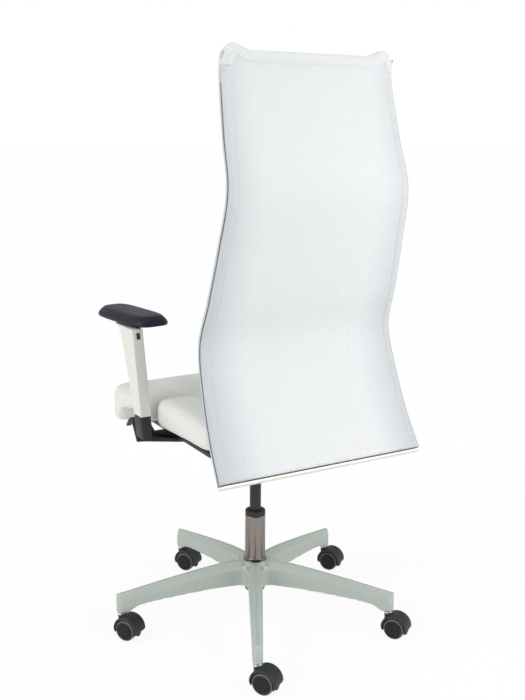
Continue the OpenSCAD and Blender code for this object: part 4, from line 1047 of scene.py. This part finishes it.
def cloth_sheet(name, rows, thickness=MESH_T, ring=False):
    """A sheet through rows of (place, length across); its UV map holds lengths in metres."""
    count = len(rows[0])
    points = [place for row in rows for place, _ in row]
    faces, corners = [], []
    up = [0.0]
    for a, b in zip(rows, rows[1:]):
        up.append(up[-1] + sum((q[0] - p[0]).length for p, q in zip(a, b)) / count)
    for i in range(len(rows) - 1):
        for j in range(count if ring else count - 1):
            k = (j + 1) % count
            faces.append((i * count + j, i * count + k, (i + 1) * count + k, (i + 1) * count + j))
            wide = rows[i][k][1] if k else rows[i][-1][1] * 2 - rows[i][-2][1]
            corners += [(rows[i][j][1], up[i]), (wide, up[i]), (wide, up[i + 1]), (rows[i][j][1], up[i + 1])]
    mesh = bpy.data.meshes.new(name)
    mesh.from_pydata([tuple(p) for p in points], [], faces)
    weave = mesh.uv_layers.new(name="weave")
    weave.data.foreach_set("uv", np.array(corners).ravel())
    mesh.shade_smooth()
    piece = bpy.data.objects.new(name, mesh)
    scene.collection.objects.link(piece)
    wall = piece.modifiers.new("wall", "SOLIDIFY")
    wall.thickness, wall.offset = thickness, -1
    bpy.context.view_layer.update()
    done = bpy.data.meshes.new_from_object(piece.evaluated_get(bpy.context.evaluated_depsgraph_get()))
    piece.modifiers.clear()
    piece.data = done
    done.name = name
    return piece


def build_knit():
    """Diamond mesh knitted from fine yarn: strands, holes between them, and yarn relief."""
    group, given, out = node_group("diamond_knit", [("UV", "Vector", None), ("Pitch", "Float", 0.0052),
                                                    ("Hole", "Float", 0.52)],
                                   [("Strand", "Float"), ("Height", "Float")])
    links = group.links
    split = group.nodes.new("ShaderNodeSeparateXYZ")
    links.new(given.outputs["UV"], split.inputs[0])
    waves = []
    for operation in ("ADD", "SUBTRACT"):
        turns = math_node(group, "DIVIDE", math_node(group, operation, split.outputs["X"],
                                                     split.outputs["Y"]),
                          given.outputs["Pitch"])
        waves.append(math_node(group, "ABSOLUTE", math_node(group, "SINE", math_node(group, "MULTIPLY", turns,
                                                                                        math.pi))))
    open_share = math_node(group, "MULTIPLY", waves[0], waves[1])
    edge = math_node(group, "DIVIDE", math_node(group, "SUBTRACT", open_share, given.outputs["Hole"]), 0.14)
    clamp = group.nodes.new("ShaderNodeClamp")
    links.new(edge, clamp.inputs["Value"])
    links.new(math_node(group, "SUBTRACT", 1.0, clamp.outputs[0]), out.inputs["Strand"])
    twist = math_node(group, "SINE", math_node(group, "MULTIPLY", split.outputs["Y"], 2 * math.pi / 0.0009))
    links.new(math_node(group, "SUBTRACT", math_node(group, "MULTIPLY", twist, 0.12), open_share),
              out.inputs["Height"])
    return group


def build_painted_tube_shade():
    """Painted grey green shade that deepens towards the side tubes, where the cloth is drawn round them."""
    group, given, out = node_group("painted_tube_shade", [("UV", "Vector", None), ("Color", "Color", None),
                                                  ("Near", "Float", 0.19), ("Far", "Float", 0.26)],
                                   [("Color", "Color")])
    links = group.links
    split = group.nodes.new("ShaderNodeSeparateXYZ")
    links.new(given.outputs["UV"], split.inputs[0])
    span = group.nodes.new("ShaderNodeMapRange")
    span.interpolation_type = "SMOOTHSTEP"
    links.new(math_node(group, "ABSOLUTE", split.outputs["X"]), span.inputs["Value"])
    links.new(given.outputs["Near"], span.inputs["From Min"])
    links.new(given.outputs["Far"], span.inputs["From Max"])
    mix = group.nodes.new("ShaderNodeMix")
    mix.data_type, mix.blend_type = "RGBA", "MULTIPLY"
    # Colour of the painted shade near the side tubes.
    mix.inputs["B"].default_value = (0.56, 0.62, 0.63, 1)
    links.new(math_node(group, "MULTIPLY", span.outputs[0], 0.6), mix.inputs["Factor"])
    links.new(given.outputs["Color"], mix.inputs["A"])
    links.new(mix.outputs["Result"], out.inputs["Color"])
    return group


knit_group, painted_tube_shade_group = build_knit(), build_painted_tube_shade()


def knit_material(name, color, painted_hole_shade, hole_alpha, pitch, hole):
    """White knitted mesh whose holes let part of the light through; the rest of each hole is a painted grey
    shade.
    """
    material = bpy.data.materials.new(name)
    material.use_nodes = True
    tree = material.node_tree
    shader = tree.nodes["Principled BSDF"]
    place = tree.nodes.new("ShaderNodeUVMap")
    place.uv_map = "weave"
    knit = tree.nodes.new("ShaderNodeGroup")
    knit.node_tree = knit_group
    knit.inputs["Pitch"].default_value, knit.inputs["Hole"].default_value = pitch, hole
    tree.links.new(place.outputs["UV"], knit.inputs["UV"])
    # Painted shade: the holes take a grey colour standing for the shadowed space behind the knit.
    tint = tree.nodes.new("ShaderNodeMix")
    tint.data_type = "RGBA"
    tint.inputs["A"].default_value, tint.inputs["B"].default_value = (*painted_hole_shade, 1), (*color, 1)
    tree.links.new(knit.outputs["Strand"], tint.inputs["Factor"])
    # Painted shade: the knit's colour is darkened towards the side tubes.
    shade = tree.nodes.new("ShaderNodeGroup")
    shade.node_tree = painted_tube_shade_group
    shade.inputs["Near"].default_value, shade.inputs["Far"].default_value = 0.13, 0.262
    tree.links.new(place.outputs["UV"], shade.inputs["UV"])
    tree.links.new(tint.outputs["Result"], shade.inputs["Color"])
    tree.links.new(shade.outputs["Color"], shader.inputs["Base Color"])
    cover = math_node(tree, "ADD", hole_alpha, math_node(tree, "MULTIPLY", knit.outputs["Strand"],
                                                         1 - hole_alpha))
    tree.links.new(cover, shader.inputs["Alpha"])
    relief = tree.nodes.new("ShaderNodeBump")
    relief.inputs["Strength"].default_value, relief.inputs["Distance"].default_value = 0.5, 0.0004
    tree.links.new(knit.outputs["Height"], relief.inputs["Height"])
    tree.links.new(relief.outputs["Normal"], shader.inputs["Normal"])
    shader.inputs["Roughness"].default_value = 0.8
    shader.inputs["Sheen Weight"].default_value = 0.3
    return material


# The second colour is the painted grey shade in the holes.
white_knit = knit_material("white_knitted_mesh", (0.80, 0.80, 0.815), (0.62, 0.63, 0.67), 0.8, 0.0046, 0.5)
shares = [MESH_FOOT + (MESH_HEAD - MESH_FOOT) * i / ROWS for i in range(ROWS + 1)]
layers = []
for name, node, face in (("back_mesh_sheet_rear", "back_mesh_rear", 1),
                         ("back_mesh_sheet_front", "back_mesh_front", -1)):
    rows = []
    for s in shares:
        share = (s - MESH_FOOT) / (MESH_HEAD - MESH_FOOT)
        reach = max(0, share - 0.85) / 0.15
        lean = back_point(s, 0, 1) - back_point(s, 0, 0)
        row = []
        for place, along in layer_row(s, face):
            high = back_point(s + (head_line(place.x) - MESH_HEAD) * reach**2, place.x, 0)
            tuck = draw_in(s, place.x, face) - face * 0.0032 * reach**12
            row.append((place + high - back_point(s, place.x, 0) + lean * tuck, along))
        rows.append(row)
    if face < 0:
        rows = [row[::-1] for row in rows]
    layer = cloth_sheet(name, rows)
    dress(layer, white_knit, "back", "white_mesh", node)
    layers.append(layer)


def smooth_path(points, per_leg):
    """Points along a smooth curve through the given ones."""
    path = []
    for i in range(len(points) - 1):
        before, a = points[max(i - 1, 0)], points[i]
        b, after = points[i + 1], points[min(i + 2, len(points) - 1)]
        for s in range(per_leg):
            t = s / per_leg
            path.append(0.5 * (2 * a + (b - before) * t + (2 * before - 5 * a + 4 * b - after) * t**2
                               + (3 * a - before - 3 * b + after) * t**3))
    return path + [points[-1]]


def tube_rings(path, radius, sides):
    """Rings square to a path, turned as little as possible from one to the next."""
    rings, across = [], Vector((0, 1, 0))
    for i, p in enumerate(path):
        along = (path[min(i + 1, len(path) - 1)] - path[max(i - 1, 0)]).normalized()
        across = (across - along * across.dot(along)).normalized()
        other = along.cross(across)
        r = radius(i / (len(path) - 1)) if callable(radius) else radius
        turns = [2 * math.pi * j / sides for j in range(sides)]
        rings.append([p + across * (r * math.cos(a)) + other * (r * math.sin(a)) for a in turns])
    return rings


def frame_x(s):
    return back_half(s) - BACK_R


corner_places = [(MESH_HEAD, frame_x(MESH_HEAD)), (MESH_HEAD + 0.008, frame_x(MESH_HEAD)),
                 (FRAME_HEAD - 0.008, frame_x(FRAME_HEAD) - 0.002), (FRAME_HEAD, frame_x(1) - CORNER * 0.5),
                 (FRAME_HEAD - DIP * 0.5, frame_x(1) - CORNER * 1.2),
                 (FRAME_HEAD - DIP, frame_x(1) - CORNER * 2.2)]
bar_places = [(FRAME_HEAD - DIP, (frame_x(1) - CORNER * 2.2) * x) for x in (0.75, 0.5, 0.25)]
right_side = [back_point(s, x, 0) for s, x in corner_places + bar_places]
top_path = smooth_path(right_side + [back_point(FRAME_HEAD - DIP, 0, 0)]
                       + [Vector((-p.x, p.y, p.z)) for p in reversed(right_side)], 6)
ROLL_SIDES, ROLL_R = 28, 0.0152
top_path = [p + Vector((0, 0, 0.0025)) for p in top_path]
roll_rings = tube_rings(top_path, ROLL_R, ROLL_SIDES)
roll_rows = [[(p, ROLL_R * 2 * math.pi * j / ROLL_SIDES) for j, p in enumerate(ring)] for ring in roll_rings]
top_roll = cloth_sheet("back_mesh_top_sleeve", roll_rows, ring=True)
shell = bmesh.new()
shell.from_mesh(top_roll.data)
bmesh.ops.recalc_face_normals(shell, faces=shell.faces)
shell.to_mesh(top_roll.data)
shell.free()
dress(top_roll, white_knit, "back", "white_mesh", "back_mesh_top")

CORD_R = 0.0011
cord_paint = skin_material("seam_cord", (0.10, 0.11, 0.16), 0.6, grain=2500, mottle=0.1, bump=0.4)
for side, sign in (("left", 1), ("right", -1)):
    half = [back_point(s, (back_half(s) - BACK_R) + (BACK_R + 0.0004) * math.cos(SEAM_ANGLE),
                       (BACK_R + 0.0004) * math.sin(SEAM_ANGLE)) for s in shares[:-5:2]]
    line = [Vector((sign * p.x, p.y, p.z)) for p in half]
    cord = add_piece(f"back_seam_cord_{side}", *loft(tube_rings(line, CORD_R, 10)))
    dress(cord, cord_paint, "back", "white_mesh")



def build_stitch_row():
    """Geometry nodes: one stitch of thread every so far along a line of points."""
    group = bpy.data.node_groups.new("stitch_row", "GeometryNodeTree")
    for label, kind in (("Line", "Geometry"), ("Spacing", "Float"), ("Stitch Length", "Float"),
                        ("Thread Radius", "Float"), ("Thread", "Material"), ("Seed", "Int")):
        group.interface.new_socket(label, in_out="INPUT", socket_type="NodeSocket" + kind)
    group.interface.new_socket("Stitches", in_out="OUTPUT", socket_type="NodeSocketGeometry")
    given, out = group.nodes.new("NodeGroupInput"), group.nodes.new("NodeGroupOutput")
    nodes = {word: group.nodes.new(kind) for word, kind in (
        ("curve", "GeometryNodeMeshToCurve"), ("spread", "GeometryNodeResampleCurve"),
        ("stitch", "GeometryNodeMeshCylinder"), ("along", "GeometryNodeInputTangent"),
        ("turn", "FunctionNodeAlignRotationToVector"), ("place", "GeometryNodeInstanceOnPoints"),
        ("uneven", "FunctionNodeRandomValue"), ("whole", "GeometryNodeRealizeInstances"),
        ("dye", "GeometryNodeSetMaterial"))}
    nodes["spread"].mode = "LENGTH"
    nodes["turn"].axis = "Z"
    nodes["stitch"].inputs["Vertices"].default_value = 8
    low, high = [next(i for i in nodes["uneven"].inputs if i.name == word and i.enabled) for word in ("Min",
                                                                                                      "Max")]
    low.default_value, high.default_value = 0.88, 1.08
    link = group.links.new
    link(given.outputs["Line"], nodes["curve"].inputs["Mesh"])
    link(nodes["curve"].outputs["Curve"], nodes["spread"].inputs["Curve"])
    link(given.outputs["Spacing"], nodes["spread"].inputs["Length"])
    link(given.outputs["Stitch Length"], nodes["stitch"].inputs["Depth"])
    link(given.outputs["Thread Radius"], nodes["stitch"].inputs["Radius"])
    link(nodes["along"].outputs["Tangent"], nodes["turn"].inputs["Vector"])
    link(given.outputs["Seed"], nodes["uneven"].inputs["Seed"])
    link(nodes["spread"].outputs["Curve"], nodes["place"].inputs["Points"])
    link(nodes["stitch"].outputs["Mesh"], nodes["place"].inputs["Instance"])
    link(nodes["turn"].outputs["Rotation"], nodes["place"].inputs["Rotation"])
    link(next(o for o in nodes["uneven"].outputs if o.enabled), nodes["place"].inputs["Scale"])
    link(nodes["place"].outputs["Instances"], nodes["whole"].inputs["Geometry"])
    link(nodes["whole"].outputs["Geometry"], nodes["dye"].inputs["Geometry"])
    link(given.outputs["Thread"], nodes["dye"].inputs["Material"])
    link(nodes["dye"].outputs["Geometry"], out.inputs["Stitches"])
    return group


stitch_group = build_stitch_row()
stitch_sockets = {item.name: item.identifier for item in stitch_group.interface.items_tree}


def stitch_along(name, line, material, spacing=0.0042, length=0.0031, radius=0.00032, seed=4):
    """A row of stitches along a line of points, as one finished piece."""
    mesh = bpy.data.meshes.new(name)
    mesh.from_pydata([tuple(p) for p in line], [(i, i + 1) for i in range(len(line) - 1)], [])
    piece = bpy.data.objects.new(name, mesh)
    scene.collection.objects.link(piece)
    sew = piece.modifiers.new("sew", "NODES")
    sew.node_group = stitch_group
    for word, value in (("Spacing", spacing), ("Stitch Length", length), ("Thread Radius", radius),
                        ("Thread", material), ("Seed", seed)):
        sew[stitch_sockets[word]] = value
    bpy.context.view_layer.update()
    done = bpy.data.meshes.new_from_object(piece.evaluated_get(bpy.context.evaluated_depsgraph_get()))
    piece.modifiers.clear()
    piece.data = done
    done.name = name
    return piece


thread = skin_material("sewing_thread_grey", (0.60, 0.63, 0.66), 0.7, grain=3000, mottle=0.1, bump=0.3)
SEAM_ALLOWANCE, STITCH_LIFT = 0.007, 0.0005
for side, sign in (("left", 1), ("right", -1)):
    half = [back_point(s, back_half(s) - BACK_R - SEAM_ALLOWANCE, BACK_R + STITCH_LIFT) for s in shares[2:-3]]
    line = [Vector((sign * p.x, p.y, p.z)) for p in half]
    dress(stitch_along(f"back_side_stitches_{side}", line, thread), thread, "back", "white_mesh")

frame_paint = skin_material("frame_white_enamel", (0.55, 0.60, 0.59), 0.4, grain=900, mottle=0.03, bump=0.08)
refinish(frame_paint, "back_frame")
rail_plastic = skin_material("rail_beige_plastic", (0.76, 0.74, 0.70), 0.45, grain=1500, mottle=0.03,
                             bump=0.12)
soften("bottom_rail", "bottom_rail_strip", rail_plastic, "rail_plastic", 0.0008)
